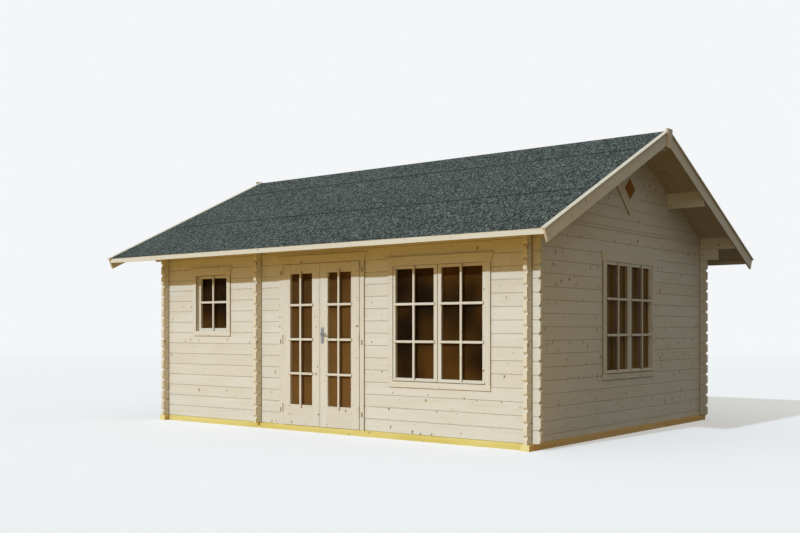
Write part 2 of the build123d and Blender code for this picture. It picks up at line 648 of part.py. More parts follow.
with BuildPart() as small_window_surround:
    window_surround(
        FRONT, SMALL_WINDOW_CENTRE, SMALL_WINDOW_WIDTH, small_sill, OPENING_TOP, SMALL_LINING_DEPTH
    )
save(small_window_surround, "small_window_surround")

with BuildPart() as gable_window_surround:
    window_surround(RIGHT_GABLE, 0, WIDE_WINDOW_WIDTH, gable_sill, gable_opening_top, LINING_DEPTH)
    window_stop(RIGHT_GABLE, 0, WIDE_WINDOW_WIDTH, gable_sill, gable_opening_top)
save(gable_window_surround, "gable_window_surround")

front_sashes = wide_sashes(WIDE_WINDOW_WIDTH, wide_sill, OPENING_TOP)
gable_sashes = wide_sashes(WIDE_WINDOW_WIDTH, gable_sill, gable_opening_top)
with BuildPart() as front_window_sashes:
    with BuildSketch(FRONT.offset(SASH_PROUD)):
        for sash, glass in front_sashes:
            pane(WIDE_WINDOW_CENTRE, sash)
            pane(WIDE_WINDOW_CENTRE, glass, mode=Mode.SUBTRACT)
    extrude(amount=-SASH_THICKNESS)
save(front_window_sashes, "front_window_sashes")

with BuildPart() as gable_window_sashes:
    with BuildSketch(RIGHT_GABLE.offset(SASH_PROUD)):
        for sash, glass in gable_sashes:
            pane(0, sash)
            pane(0, glass, mode=Mode.SUBTRACT)
    extrude(amount=-SASH_THICKNESS)
save(gable_window_sashes, "gable_window_sashes")

small_half = SMALL_WINDOW_WIDTH / 2 - LINING_THICKNESS - SASH_GAP
small_sash = (-small_half, small_half, small_sill + SILL_LINING, OPENING_TOP - HEAD_LINING - SASH_GAP)
small_glass = (
    small_sash[0] + SMALL_SASH_FRAME,
    small_sash[1] - SMALL_SASH_FRAME,
    small_sash[2] + SMALL_SASH_FRAME,
    small_sash[3] - SMALL_SASH_FRAME,
)
with BuildPart() as small_window_sash:
    with BuildSketch(FRONT.offset(-SMALL_SASH_RECESS)):
        pane(SMALL_WINDOW_CENTRE, small_sash)
        pane(SMALL_WINDOW_CENTRE, small_glass, mode=Mode.SUBTRACT)
    extrude(amount=-SMALL_SASH_THICKNESS)
save(small_window_sash, "small_window_sash")

with BuildPart() as window_panes:
    for sashes, plane, centre in (
        (front_sashes, FRONT, WIDE_WINDOW_CENTRE),
        (gable_sashes, RIGHT_GABLE, 0),
    ):
        with BuildSketch(plane.offset(SASH_PROUD - GLASS_SET_BACK)):
            for sash, glass in sashes:
                pane(centre, glass)
        extrude(amount=-GLASS_THICKNESS)
    with BuildSketch(FRONT.offset(-SMALL_SASH_RECESS - SMALL_GLASS_SET_BACK)):
        pane(SMALL_WINDOW_CENTRE, small_glass)
    extrude(amount=-GLASS_THICKNESS)
    for side in (-1, 1):
        with BuildSketch(Plane.YZ.offset(side * GABLE_CENTRE)):
            diamond()
        extrude(amount=GLASS_THICKNESS / 2, both=True)
save(window_panes, "window_panes")

# Door surround: jambs with stops, head stop, threshold, casing boards and header
door_inner = DOOR_WIDTH - 2 * LINING_THICKNESS
with BuildPart() as door_surround:
    with BuildSketch(FRONT):
        upright(DOOR_CENTRE, DOOR_WIDTH, LOG_BASE, OPENING_TOP)
        upright(DOOR_CENTRE, door_inner, LOG_BASE, OPENING_TOP, mode=Mode.SUBTRACT)
    extrude(amount=-LINING_DEPTH)
    with BuildSketch(FRONT.offset(-DOOR_STOP_RECESS)):
        upright(DOOR_CENTRE, door_inner, LOG_BASE, OPENING_TOP)
        upright(
            DOOR_CENTRE,
            door_inner - 2 * DOOR_STOP,
            LOG_BASE + THRESHOLD_HEIGHT,
            OPENING_TOP - HEAD_STOP,
            mode=Mode.SUBTRACT,
        )
    extrude(amount=DOOR_STOP_RECESS - LINING_DEPTH)
    with BuildSketch(FRONT):
        upright(DOOR_CENTRE, door_inner + 2 * CASING_WIDTH, LOG_BASE, OPENING_TOP)
        upright(DOOR_CENTRE, door_inner, LOG_BASE, OPENING_TOP, mode=Mode.SUBTRACT)
    extrude(amount=CASING_THICKNESS)
    header(FRONT, DOOR_CENTRE, door_inner + 2 * CASING_WIDTH, OPENING_TOP)
save(door_surround, "door_surround")

# Door leaves with their glass
leaf_near = DOOR_GAP / 2
leaf_far = door_inner / 2 - DOOR_GAP
leaf_bottom = LOG_BASE + DOOR_GAP
leaf_top = OPENING_TOP - DOOR_GAP
leaf_face = -HALF_DEPTH - LEAF_PROUD
for name, side in (("left", -1), ("right", 1)):
    edges = sorted((side * leaf_near, side * leaf_far))
    light = (
        edges[0] + LEAF_STILE, edges[1] - LEAF_STILE, leaf_bottom + LEAF_BOTTOM_RAIL, leaf_top - LEAF_TOP_RAIL
    )
    with BuildPart() as door_leaf:
        with BuildSketch(Plane.XY.offset(leaf_bottom)):
            outline(
                (DOOR_CENTRE + side * leaf_near, leaf_face),
                (DOOR_CENTRE + side * leaf_far, leaf_face),
                (DOOR_CENTRE + side * leaf_far, leaf_face + LEAF_THICKNESS),
                (DOOR_CENTRE + side * (leaf_near + LEAF_BEVEL), leaf_face + LEAF_THICKNESS),
            )
        extrude(amount=leaf_top - leaf_bottom)
        with BuildSketch(FRONT.offset(LEAF_PROUD)):
            pane(DOOR_CENTRE, light)
        extrude(amount=-LEAF_THICKNESS, mode=Mode.SUBTRACT)
    save(door_leaf, f"{name}_door_leaf")
    with BuildPart() as leaf_glass:
        with BuildSketch(FRONT.offset(LEAF_PROUD - GLASS_SET_BACK)):
            pane(DOOR_CENTRE, light)
        extrude(amount=-GLASS_THICKNESS)
    save(leaf_glass, f"{name}_leaf_glass")

# Hinges: the casing side has the lower knuckle and the pin, the leaf side the upper knuckle
hinge_reach = (leaf_far + door_inner / 2) / 2
hinge_y = -HALF_DEPTH - HINGE_OUT
knuckle = (HINGE_LENGTH - HINGE_CLEARANCE) / 2
upward = (Align.CENTER, Align.CENTER, Align.MIN)
outward = (Align.CENTER, Align.MAX, Align.MIN)
casing_face = -HALF_DEPTH - CASING_THICKNESS
with BuildPart() as hinge_pins:
    for side in (-1, 1):
        for height in HINGE_HEIGHTS:
            foot = leaf_bottom + height - HINGE_LENGTH / 2
            web = hinge_reach + HINGE_RADIUS - FLAP_THICKNESS / 2
            with Locations((DOOR_CENTRE + side * hinge_reach, hinge_y, foot)):
                Cylinder(HINGE_RADIUS, knuckle, align=upward)
                Cylinder(HINGE_PIN_RADIUS, HINGE_LENGTH, align=upward)
            with Locations((DOOR_CENTRE + side * web, casing_face, foot)):
                Box(FLAP_THICKNESS, HINGE_OUT - CASING_THICKNESS, knuckle, align=outward)
            with Locations((DOOR_CENTRE + side * (web + FLAP_WIDTH / 2), casing_face, foot)):
                Box(FLAP_WIDTH, FLAP_THICKNESS, knuckle, align=outward)
save(hinge_pins, "hinge_pins")

for name, side in (("left", -1), ("right", 1)):
    with BuildPart() as leaf_hinges:
        for height in HINGE_HEIGHTS:
            foot = leaf_bottom + height + HINGE_CLEARANCE / 2
            with Locations((DOOR_CENTRE + side * hinge_reach, hinge_y, foot)):
                Cylinder(HINGE_RADIUS, knuckle, align=upward)
            with Locations((DOOR_CENTRE + side * (hinge_reach - FLAP_WIDTH / 2), leaf_face, foot)):
                Box(FLAP_WIDTH, FLAP_THICKNESS, knuckle, align=outward)
            with Locations((DOOR_CENTRE + side * hinge_reach, hinge_y, foot)):
                Cylinder(HINGE_PIN_RADIUS + HINGE_CLEARANCE, knuckle, align=upward, mode=Mode.SUBTRACT)
    save(leaf_hinges, f"{name}_leaf_hinges")

# Handle on the right leaf: a long plate, a lever on a round neck and a lock below it
handle_x = DOOR_CENTRE + leaf_near + HANDLE_INSET
plate_width, plate_height, plate_thickness = HANDLE_PLATE
lever_z = leaf_bottom + LEVER_HEIGHT
plate_foot = lever_z + PLATE_ABOVE_LEVER - plate_height
with BuildPart() as door_handle:
    with BuildSketch(FRONT.offset(LEAF_PROUD)):
        with Locations((handle_x, plate_foot + plate_height / 2)):
            RectangleRounded(plate_width, plate_height, plate_width / 4)
    extrude(amount=plate_thickness)
    with BuildSketch(FRONT.offset(LEAF_PROUD + plate_thickness)):
        with Locations((handle_x, lever_z)):
            Circle(LEVER_RADIUS * 1.4)
        with Locations((handle_x, plate_foot + plate_height / 4)):
            Circle(KEYHOLE_RADIUS)
    extrude(amount=plate_thickness)
    with BuildLine() as lever_path:
        FilletPolyline(
            (handle_x, leaf_face - plate_thickness, lever_z),
            (handle_x, leaf_face - LEVER_OUT, lever_z),
            (handle_x + LEVER_REACH, leaf_face - LEVER_OUT, lever_z),
            radius=LEVER_RADIUS * 2,
        )
    with BuildSketch(FRONT.offset(LEAF_PROUD + plate_thickness)):
        with Locations((handle_x, lever_z)):
            Circle(LEVER_RADIUS)
    sweep(path=lever_path.line)
save(door_handle, "door_handle")
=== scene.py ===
import math

import bpy
import numpy as np
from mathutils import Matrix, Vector


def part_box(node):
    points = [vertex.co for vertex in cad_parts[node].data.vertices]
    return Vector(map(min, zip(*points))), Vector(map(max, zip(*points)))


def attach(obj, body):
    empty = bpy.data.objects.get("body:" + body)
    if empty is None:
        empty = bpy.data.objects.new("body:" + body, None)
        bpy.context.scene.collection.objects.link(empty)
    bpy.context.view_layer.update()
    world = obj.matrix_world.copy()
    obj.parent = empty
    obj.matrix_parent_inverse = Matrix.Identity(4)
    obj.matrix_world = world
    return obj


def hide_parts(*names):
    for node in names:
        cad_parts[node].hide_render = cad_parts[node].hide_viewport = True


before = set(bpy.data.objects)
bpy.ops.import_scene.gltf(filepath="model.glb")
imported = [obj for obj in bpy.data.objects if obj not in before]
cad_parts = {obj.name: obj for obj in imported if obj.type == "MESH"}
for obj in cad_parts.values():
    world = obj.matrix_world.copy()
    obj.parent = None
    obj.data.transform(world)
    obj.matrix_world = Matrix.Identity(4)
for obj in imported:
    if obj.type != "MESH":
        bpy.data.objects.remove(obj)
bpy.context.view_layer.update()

# Camera and studio: a level view of the front and the right gable, a pale floor that runs out into the
# background, one lamp in front and a soft, weak light from above and from the front. The floor looks
# pale, and throws a low light back at the wood, warm in front and dull elsewhere.
eye = (7.855, -10.630, 1.190)
heading = math.radians(38.34)
lens_length = 45.15
frame_shift = 0.0784
lamp_direction = Vector((-0.06, -1.0, 0.53))
lamp_power = 2.75
lamp_colour = (212, 231, 252)
lamp_spread = math.radians(1.2)
soft_light = (250, 252, 246)
horizon_light = 0.1
overhead_light = 0.47
front_light = 0.36
stage_reach = 300
stage_colour = (214, 212, 210)
stage_glow = (160, 160, 159)
stage_roughness = 0.9
front_bounce = (234, 186, 86)
other_bounce = (86, 76, 56)
bounce_start = (1.4, 2.8)
bounce_side = (5.5, 9.0)
stage_fade = (10.0, 50.0)
background_colour = (244, 246, 248)


def colour(red, green, blue):
    """A colour given as on a screen, from 0 to 255, as the linear colour that a shader takes."""
    screen = np.array((red, green, blue)) / 255
    linear = np.where(screen <= 0.04045, screen / 12.92, ((screen + 0.055) / 1.055) ** 2.4)
    return (*linear.tolist(), 1.0)


class Field:
    """A value that varies over a surface, held as the socket that it comes from."""

    def __init__(self, socket):
        self.socket = socket

    def node(self, kind, settings, inputs, output=0):
        """A node of any kind: its settings first, then the values or links of its sockets."""
        tree = self.socket.id_data
        made = tree.nodes.new(kind)
        for name, value in settings.items():
            setattr(made, name, value)
        for name, value in inputs.items():
            if isinstance(value, Field):
                tree.links.new(value.socket, made.inputs[name])
            else:
                made.inputs[name].default_value = value
        if isinstance(output, tuple):
            return [Field(made.outputs[one]) for one in output]
        return Field(made.outputs[output])

    def math(self, operation, *values):
        """Arithmetic on numbers, by the name of the Math node's operation."""
        return self.node("ShaderNodeMath", {"operation": operation}, dict(enumerate(values)))

    def __add__(self, other):
        return self.math("ADD", self, other)

    __radd__ = __add__

    def __sub__(self, other):
        return self.math("SUBTRACT", self, other)

    def __rsub__(self, other):
        return self.math("SUBTRACT", other, self)

    def __mul__(self, other):
        return self.math("MULTIPLY", self, other)

    __rmul__ = __mul__

    def __truediv__(self, other):
        return self.math("DIVIDE", self, other)

    def __rtruediv__(self, other):
        return self.math("DIVIDE", other, self)

    def __gt__(self, other):
        return self.math("GREATER_THAN", self, other)

    def __lt__(self, other):
        return self.math("LESS_THAN", self, other)

    def floor(self):
        """The next whole number down."""
        return self.math("FLOOR", self)

    def size(self):
        """The value without its sign."""
        return self.math("ABSOLUTE", self)

    def root(self):
        """The square root."""
        return self.math("SQRT", self)

    def most(self, other):
        """The larger of two values."""
        return self.math("MAXIMUM", self, other)

    def repeat(self, length):
        """Distance to the nearest multiple of length."""
        return self.math("PINGPONG", self, length / 2)

    def wave(self, length):
        """A sine from 0 to 1 that repeats every length."""
        return self.math("SINE", self * (math.tau / length)) * 0.5 + 0.5

    def ease(self, low, high, start=0.0, end=1.0):
        """From start at low to end at high, level beyond both."""
        inputs = {"Value": self, "From Min": low, "From Max": high, "To Min": start, "To Max": end}
        return self.node("ShaderNodeMapRange", {"interpolation_type": "SMOOTHSTEP"}, inputs)

    def within(self, low, high):
        """1 up to low, and down to 0 at high."""
        return self.ease(low, high, 1.0, 0.0)

    def parts(self):
        """The three numbers of a vector."""
        return self.node("ShaderNodeSeparateXYZ", {}, {0: self}, (0, 1, 2))

    def vector(self, x, y, z):
        """A vector of three numbers."""
        return self.node("ShaderNodeCombineXYZ", {}, {0: x, 1: y, 2: z})

    def noise(self, place, scale, detail=2.0, roughness=0.5):
        """Cloudy noise from 0 to 1 at a place."""
        inputs = {"Vector": place, "Scale": scale, "Detail": detail, "Roughness": roughness}
        return self.node("ShaderNodeTexNoise", {}, inputs)

    def chance(self, x, y):
        """A random number from 0 to 1 that is the same wherever x and y are."""
        inputs = {"Vector": self.vector(x, y, 0.0)}
        return self.node("ShaderNodeTexWhiteNoise", {"noise_dimensions": "2D"}, inputs)

    def tint(self, first, second):
        """Colour between first and second, by this value from 0 to 1."""
        return self.node("ShaderNodeMix", {"data_type": "RGBA"}, {0: self, 6: first, 7: second}, 2)


def new_finish(name):
    """A material with one shader, as the material, its shader and a field on Object coordinates."""
    material = bpy.data.materials.new(name)
    material.use_nodes = True
    tree = material.node_tree
    shader = tree.nodes["Principled BSDF"]
    place = Field(tree.nodes.new("ShaderNodeTexCoord").outputs["Object"])
    return material, shader, place


def connect(field, socket):
    """Feeds a field into a socket of a shader or of the world."""
    field.socket.id_data.links.new(field.socket, socket)


camera_lens = bpy.data.cameras.new("view")
camera_lens.lens = lens_length
camera_lens.shift_y = frame_shift
camera_lens.clip_end = 2 * stage_reach
camera = bpy.data.objects.new("view", camera_lens)
camera.location = eye
camera.rotation_euler = (math.pi / 2, 0, heading)

lamp_light = bpy.data.lights.new("lamp", "SUN")
lamp_light.energy = lamp_power
lamp_light.color = colour(*lamp_colour)[:3]
lamp_light.angle = lamp_spread
lamp = bpy.data.objects.new("lamp", lamp_light)
lamp.rotation_mode = "QUATERNION"
lamp.rotation_quaternion = lamp_direction.to_track_quat("Z", "Y")

scene = bpy.context.scene
scene.collection.objects.link(camera)
scene.collection.objects.link(lamp)
scene.camera = camera
scene.view_settings.view_transform = "Standard"


def seen_rays(tree):
    """1 for rays that show a surface to the camera, also by way of gloss or glass, and 0 for light."""
    rays = tree.nodes.new("ShaderNodeLightPath")
    names = ("Is Camera Ray", "Is Glossy Ray", "Is Transmission Ray")
    camera_ray, gloss_ray, glass_ray = [Field(rays.outputs[name]) for name in names]
    return (camera_ray + gloss_ray + glass_ray) > 0.5


studio = bpy.data.worlds.new("studio")
studio.use_nodes = True
scene.world = studio
seen = seen_rays(studio.node_tree)
_, rearward, upward = seen.node("ShaderNodeTexCoord", {}, {}, "Object").parts()
from_above = overhead_light * upward.most(0.0)
from_front = front_light * (0 - rearward).most(0.0)
background = studio.node_tree.nodes["Background"]
connect(seen.tint(colour(*soft_light), colour(*background_colour)), background.inputs["Color"])
connect(seen.most(horizon_light + from_above + from_front), background.inputs["Strength"])

stage_mesh = bpy.data.meshes.new("studio_floor")
corners = [(x * stage_reach, y * stage_reach, 0.0) for x, y in ((-1, -1), (1, -1), (1, 1), (-1, 1))]
stage_mesh.from_pydata(corners, [], [(0, 1, 2, 3)])
studio_floor = bpy.data.objects.new("studio_floor", stage_mesh)
scene.collection.objects.link(studio_floor)
stage_finish, stage_shader, stage_place = new_finish("studio_floor")
x, y, _ = stage_place.parts()
far = (x * x + y * y).root().ease(*stage_fade)
seen = seen_rays(stage_finish.node_tree)
pale_stage = far.tint(colour(*stage_colour), colour(0, 0, 0))
glowing_stage = far.tint(colour(*stage_glow), colour(*background_colour))
in_front = (0 - y).ease(*bounce_start) * x.within(*bounce_side)
bounce = in_front.tint(colour(*other_bounce), colour(*front_bounce))
connect(seen.tint(bounce, pale_stage), stage_shader.inputs["Base Color"])
connect(seen.tint(colour(0, 0, 0), glowing_stage), stage_shader.inputs["Emission Color"])
stage_shader.inputs["Emission Strength"].default_value = 1.0
stage_shader.inputs["Roughness"].default_value = stage_roughness
stage_shader.inputs["Specular IOR Level"].default_value = 0.0
stage_mesh.materials.append(stage_finish)

# Log walls: planed spruce logs 135 mm high that lie on each other and lock at the corners, where their
# ends run past. Front and back lie half a log lower than gables and partition. No paint or oil.
log_height = 0.135
log_joint = (0.0012, 0.005)
corner_gap = 0.004
corner_line = (0.003, 0.006)
log_seed = 3.0
log_offsets = (40.0, 9.0)
knot_spacing = 0.14
knot_stretch = 1.5
knot_radius = 0.004
knot_growth = 0.005
pin_spacing = 0.09
pin_stretch = 1.4
pin_shift = 0.37
pin_radius = 0.0025
pin_growth = 0.002
pins_missing = 0.5
ring_spacing = 0.0075
end_ring_spacing = 0.004
sway_scale = (0.9, 5.0)
streak_scale = (2.2, 60.0)
cloud_scale = (2.0, 8.0)
grain_relief = 0.0012
pale_wood = (222, 216, 202)
warm_wood = (212, 200, 176)
summer_wood = (190, 164, 120)
sawn_wood = (232, 219, 192)
knot_halo = (184, 166, 120)
knot_rim = (122, 90, 56)
knot_heart = (56, 40, 25)


def knots(along, across, spacing, stretch, missing, smallest, growth):
    """Knots strewn over the wood a spacing apart and drawn out across the grain, less the share that is
    missing. Gives the distance from the nearest one in its own radii, and how dark that one is."""
    spots = along.vector(along / spacing, across / (spacing * stretch), 0.0)
    distance, choice = along.node(
        "ShaderNodeTexVoronoi",
        {"voronoi_dimensions": "2D"},
        {"Vector": spots, "Scale": 1.0, "Randomness": 0.85},
        ("Distance", "Color"),
    )
    kind, rarity, darkness = choice.parts()
    radius = (smallest + growth * kind) * (rarity > missing) + 0.0001
    return distance * spacing / radius, darkness


def along_grain(along, across, depth, scale, detail=3.0, roughness=0.5):
    """Noise drawn out along the grain, with one scale along it and one across it."""
    place = along.vector(along * scale[0], across * scale[1], depth * scale[1])
    return along.noise(place, 1.0, detail, roughness)


def dress_wood(shader, along, across, depth, tone, end, lines, missing, knot_size=1.0):
    """Fresh spruce. Its colour runs from pale to warm by tone and by streaks along the grain, summer wood
    draws thin rings that bend round the knots, and sawn ends show the rings closer and darker.
    along, across and depth are places in metres, tone, end and lines go from 0 to 1, lines darkening for
    dark joints and for painted shade, and missing is the share of the knots that are left out, the others
    being knot_size times the usual size."""
    knot_sizes = (knot_radius * knot_size, knot_growth * knot_size)
    pin_sizes = (pin_radius * knot_size, pin_growth * knot_size)
    from_knot, darkness = knots(along, across, knot_spacing, knot_stretch, missing, *knot_sizes)
    from_pin, _ = knots(along, across + pin_shift, pin_spacing, pin_stretch, pins_missing, *pin_sizes)
    knot = from_knot.within(0.7, 1.25)
    heart = from_knot.within(0.45, 1.05) * darkness.ease(0.15, 0.65)
    halo = from_knot.within(1.0, 3.2)
    pin = from_pin.within(0.7, 1.25)

    sway = along_grain(along, across, depth, sway_scale, 2.0)
    rings = (across + depth * 0.7 + sway * 0.05 + halo * 0.006).wave(ring_spacing)
    streaks = along_grain(along, across, depth, streak_scale, 3.0, 0.6)
    clouds = along_grain(along, across, depth, cloud_scale)

    warmth = (tone * 0.3 + clouds * 0.7 + streaks * 0.5 - 0.32).ease(0.0, 1.0)
    wood = warmth.tint(colour(*pale_wood), colour(*warm_wood))
    wood = (rings * streaks * 0.3).tint(wood, colour(*summer_wood))
    wood = (halo * (0.1 + 0.35 * darkness)).tint(wood, colour(*knot_halo))
    wood = (knot * (0.4 + 0.6 * darkness)).tint(wood, colour(*knot_rim))
    wood = (heart * 0.9).tint(wood, colour(*knot_heart))
    wood = (pin * 0.8).tint(wood, colour(*knot_rim))

    end_rings = (across * across + depth * depth + sway * 0.003).root().wave(end_ring_spacing)
    sawn = (end_rings * 0.35 + streaks * 0.15).tint(colour(*sawn_wood), colour(*summer_wood))
    wood = end.tint(wood, sawn)
    # lines darken dark joints, and also carry painted shade on roof boards, slim board sides and purlin
    # ends.
    wood = (lines * 0.8).tint(wood, colour(*knot_rim))
    connect(wood, shader.inputs["Base Color"])
    connect(0.62 + streaks * 0.2 - knot * 0.15, shader.inputs["Roughness"])
    shader.inputs["Specular IOR Level"].default_value = 0.3
    relief = streaks * 0.5 + rings * 0.25 + knot * 0.4 - lines * 1.5
    bump_inputs = {"Height": relief, "Strength": 0.25, "Distance": grain_relief}
    connect(along.node("ShaderNodeBump", {}, bump_inputs), shader.inputs["Normal"])


def facing(place, axis):
    """1 where a surface faces along an axis, as the end of a log does, and 0 on its long sides."""
    slope = place.node("ShaderNodeTexCoord", {}, {}, "Normal").parts()[axis]
    return slope.size().ease(0.5, 0.85)


def log_finish(name, axis, first_joint, crossing, missing, knot_size=1.0, spacing=log_height):
    """Spruce for logs along axis 0 or 1. Each log has its own tone and grain, and thin lines show where
    it meets the next, and the wall that it crosses at that distance from the middle."""
    material, shader, place = new_finish(name)
    ways = place.parts()
    along, height, depth = ways[axis], ways[2], ways[1 - axis]
    course = ((height - first_joint) / spacing).floor()
    tone = place.chance(course, log_seed)
    end = facing(place, axis)
    joint = (height - first_joint).repeat(spacing).within(*log_joint)
    corner = (along.size() - crossing - corner_gap).size().within(*corner_line)
    lines = (joint * 0.5).most(corner * 0.9) * (1 - end)
    own_along, own_height = along + tone * log_offsets[0], height + tone * log_offsets[1]
    dress_wood(shader, own_along, own_height, depth, tone, end, lines, missing, knot_size)
    return material


def finish_nodes(material, *names):
    """Gives CAD nodes their material."""
    for name in names:
        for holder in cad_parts[name].material_slots:
            holder.material = material


log_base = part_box("front_wall_lower_logs")[0].z
half_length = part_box("right_gable_lower_logs")[1].x
half_depth = -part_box("front_wall_lower_logs")[0].y
gable_log_base = log_base + log_height / 2
front_logs = log_finish("spruce_front_logs", 0, log_base, half_length, missing=0.68)
gable_logs = log_finish("spruce_gable_logs", 1, gable_log_base, half_depth, missing=0.45, knot_size=1.3)
finish_nodes(front_logs, "front_wall_lower_logs", "front_wall_pier_logs", "front_wall_upper_logs")
finish_nodes(front_logs, "back_wall", "back_wall_upper_logs")
finish_nodes(gable_logs, "partition_wall_front", "partition_wall_rear", "partition_wall_top")
finish_nodes(gable_logs, "right_gable_lower_logs", "right_gable_pier_logs", "right_gable_upper_logs")
finish_nodes(gable_logs, "left_gable_wall", "left_gable_triangle", "right_gable_triangle")
strip_low, strip_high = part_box("gable_strips")
strip_height = strip_high.z - strip_low.z
strip_finish = log_finish(
    "spruce_gable_strips", 1, strip_high.z, half_depth, missing=0.6, spacing=strip_height
)
finish_nodes(strip_finish, "gable_strips")

# Purlins: one planed spruce beam at the ridge and one half way down each slope. They are let into the
# gable triangles and run out to the bargeboards, and their sawn ends are dark with painted shade.
purlin_seed = 7.0
purlin_offset = 31.0
purlin_finish, purlin_shader, purlin_place = new_finish("spruce_purlins")
x, y, z = purlin_place.parts()
purlin_tone = purlin_place.chance((y * 2.0).floor(), purlin_seed)
purlin_end_painted_shade = facing(purlin_place, 0)
purlin_along = x + purlin_tone * purlin_offset
# Painted shade: the sawn ends are mixed towards dark brown, beside their end grain.
dress_wood(purlin_shader, purlin_along, z, y, purlin_tone, purlin_end_painted_shade, purlin_end_painted_shade * 0.9, missing=0.7)
finish_nodes(purlin_finish, "purlins")

# Foundation beams: pressure-treated pine, green-yellow from its salts, laid flat under the first logs.
# The beams of the long walls butt between the cross beams, whose warmer yellow is painted warm light.
long_beam_light = (228, 209, 128)
long_beam_deep = (208, 180, 74)
# Painted light: warmer copies of the treated colours, standing for warm light on the cross beams.
painted_warm_cross_pale = (232, 194, 126)
painted_warm_cross_deep = (210, 158, 80)
treated_end = (232, 220, 152)
treated_streak_scale = (1.8, 45.0)
treated_cloud_scale = (1.2, 4.0)
treated_knots = 3.5
treated_relief = 0.0015
beam_joint = (0.006, 0.016)


def treated_finish(name, axis, reach, light, deep):
    """Treated pine along axis 0 or 1: broad clouds of salt from light to deep, fine streaks, a few small
    brown knots a metre and a dark joint at reach from the middle."""
    material, shader, place = new_finish(name)
    ways = place.parts()
    along, across, depth = ways[axis], ways[1 - axis], ways[2]
    streaks = along_grain(along, across, depth, treated_streak_scale, 3.0, 0.6)
    clouds = along_grain(along, across, depth, treated_cloud_scale)
    spots = place.vector(along * treated_knots, (across + depth) * treated_knots, 0.0)
    distance = place.node(
        "ShaderNodeTexVoronoi", {"voronoi_dimensions": "2D"}, {"Vector": spots, "Scale": 1.0}, "Distance"
    )
    knot = (distance / treated_knots).within(0.008, 0.014)
    depth_of_salt = (streaks * 0.5 + clouds * 0.7 - 0.2).ease(0.1, 0.8)
    wood = depth_of_salt.tint(colour(*light), colour(*deep))
    wood = (knot * 0.6).tint(wood, colour(*knot_rim))
    wood = (facing(place, axis) * 0.8).tint(wood, colour(*treated_end))
    wood = (along.size() - reach).size().within(*beam_joint).tint(wood, colour(*knot_heart))
    connect(wood, shader.inputs["Base Color"])
    connect(0.7 + streaks * 0.2, shader.inputs["Roughness"])
    bump_inputs = {"Height": streaks, "Strength": 0.3, "Distance": treated_relief}
    connect(place.node("ShaderNodeBump", {}, bump_inputs), shader.inputs["Normal"])
    return material


long_beam_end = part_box("foundation_long_beams")[1].x
long_beams = treated_finish("treated_long_beams", 0, long_beam_end, long_beam_light, long_beam_deep)
no_joint = 2 * long_beam_end
cross_beams = treated_finish("treated_cross_beams_painted_warm", 1, no_joint, painted_warm_cross_pale, painted_warm_cross_deep)
finish_nodes(long_beams, "foundation_long_beams")
finish_nodes(cross_beams, "foundation_cross_beams")

# Floors: planed spruce boards nailed across the joists, one floor a room, with a board in the doorway
# between the rooms. Each board has its arrises taken off.
floor_board_width = 0.096
floor_gap = 0.005
arris = 0.0016
corner_turns = 3
end_steps = ((0.0, 0.66), (0.4, 0.18), (1.0, 0.0))
grain_offsets = (40.0, 7.0, 0.1)
chance = np.random.default_rng(27)

level_plane = (Vector((0, 0, 0)), Vector((1, 0, 0)), Vector((0, 1, 0)))
section_plane = (Vector((0, 0, 0)), Vector((0, 1, 0)), Vector((1, 0, 0)))


def board(plane, start, end, width, back, front, cuts=(0.0, 0.0), edge=arris):
    """A straight board in a plane. start and end are the ends of its middle line, sideways and upwards
    in the plane, width is measured in the plane, back and front from the plane outwards. A cut is how
    far an end runs on for each metre across."""
    origin, sideways, out = plane
    upward = Vector((0, 0, 1))
    middle = origin + out * ((back + front) / 2)
    first = middle + sideways * start[0] + upward * start[1]
    last = middle + sideways * end[0] + upward * end[1]
    across = out.cross((last - first).normalized())
    return (*first, *last, *across, *out, width, front - back, *cuts, edge)


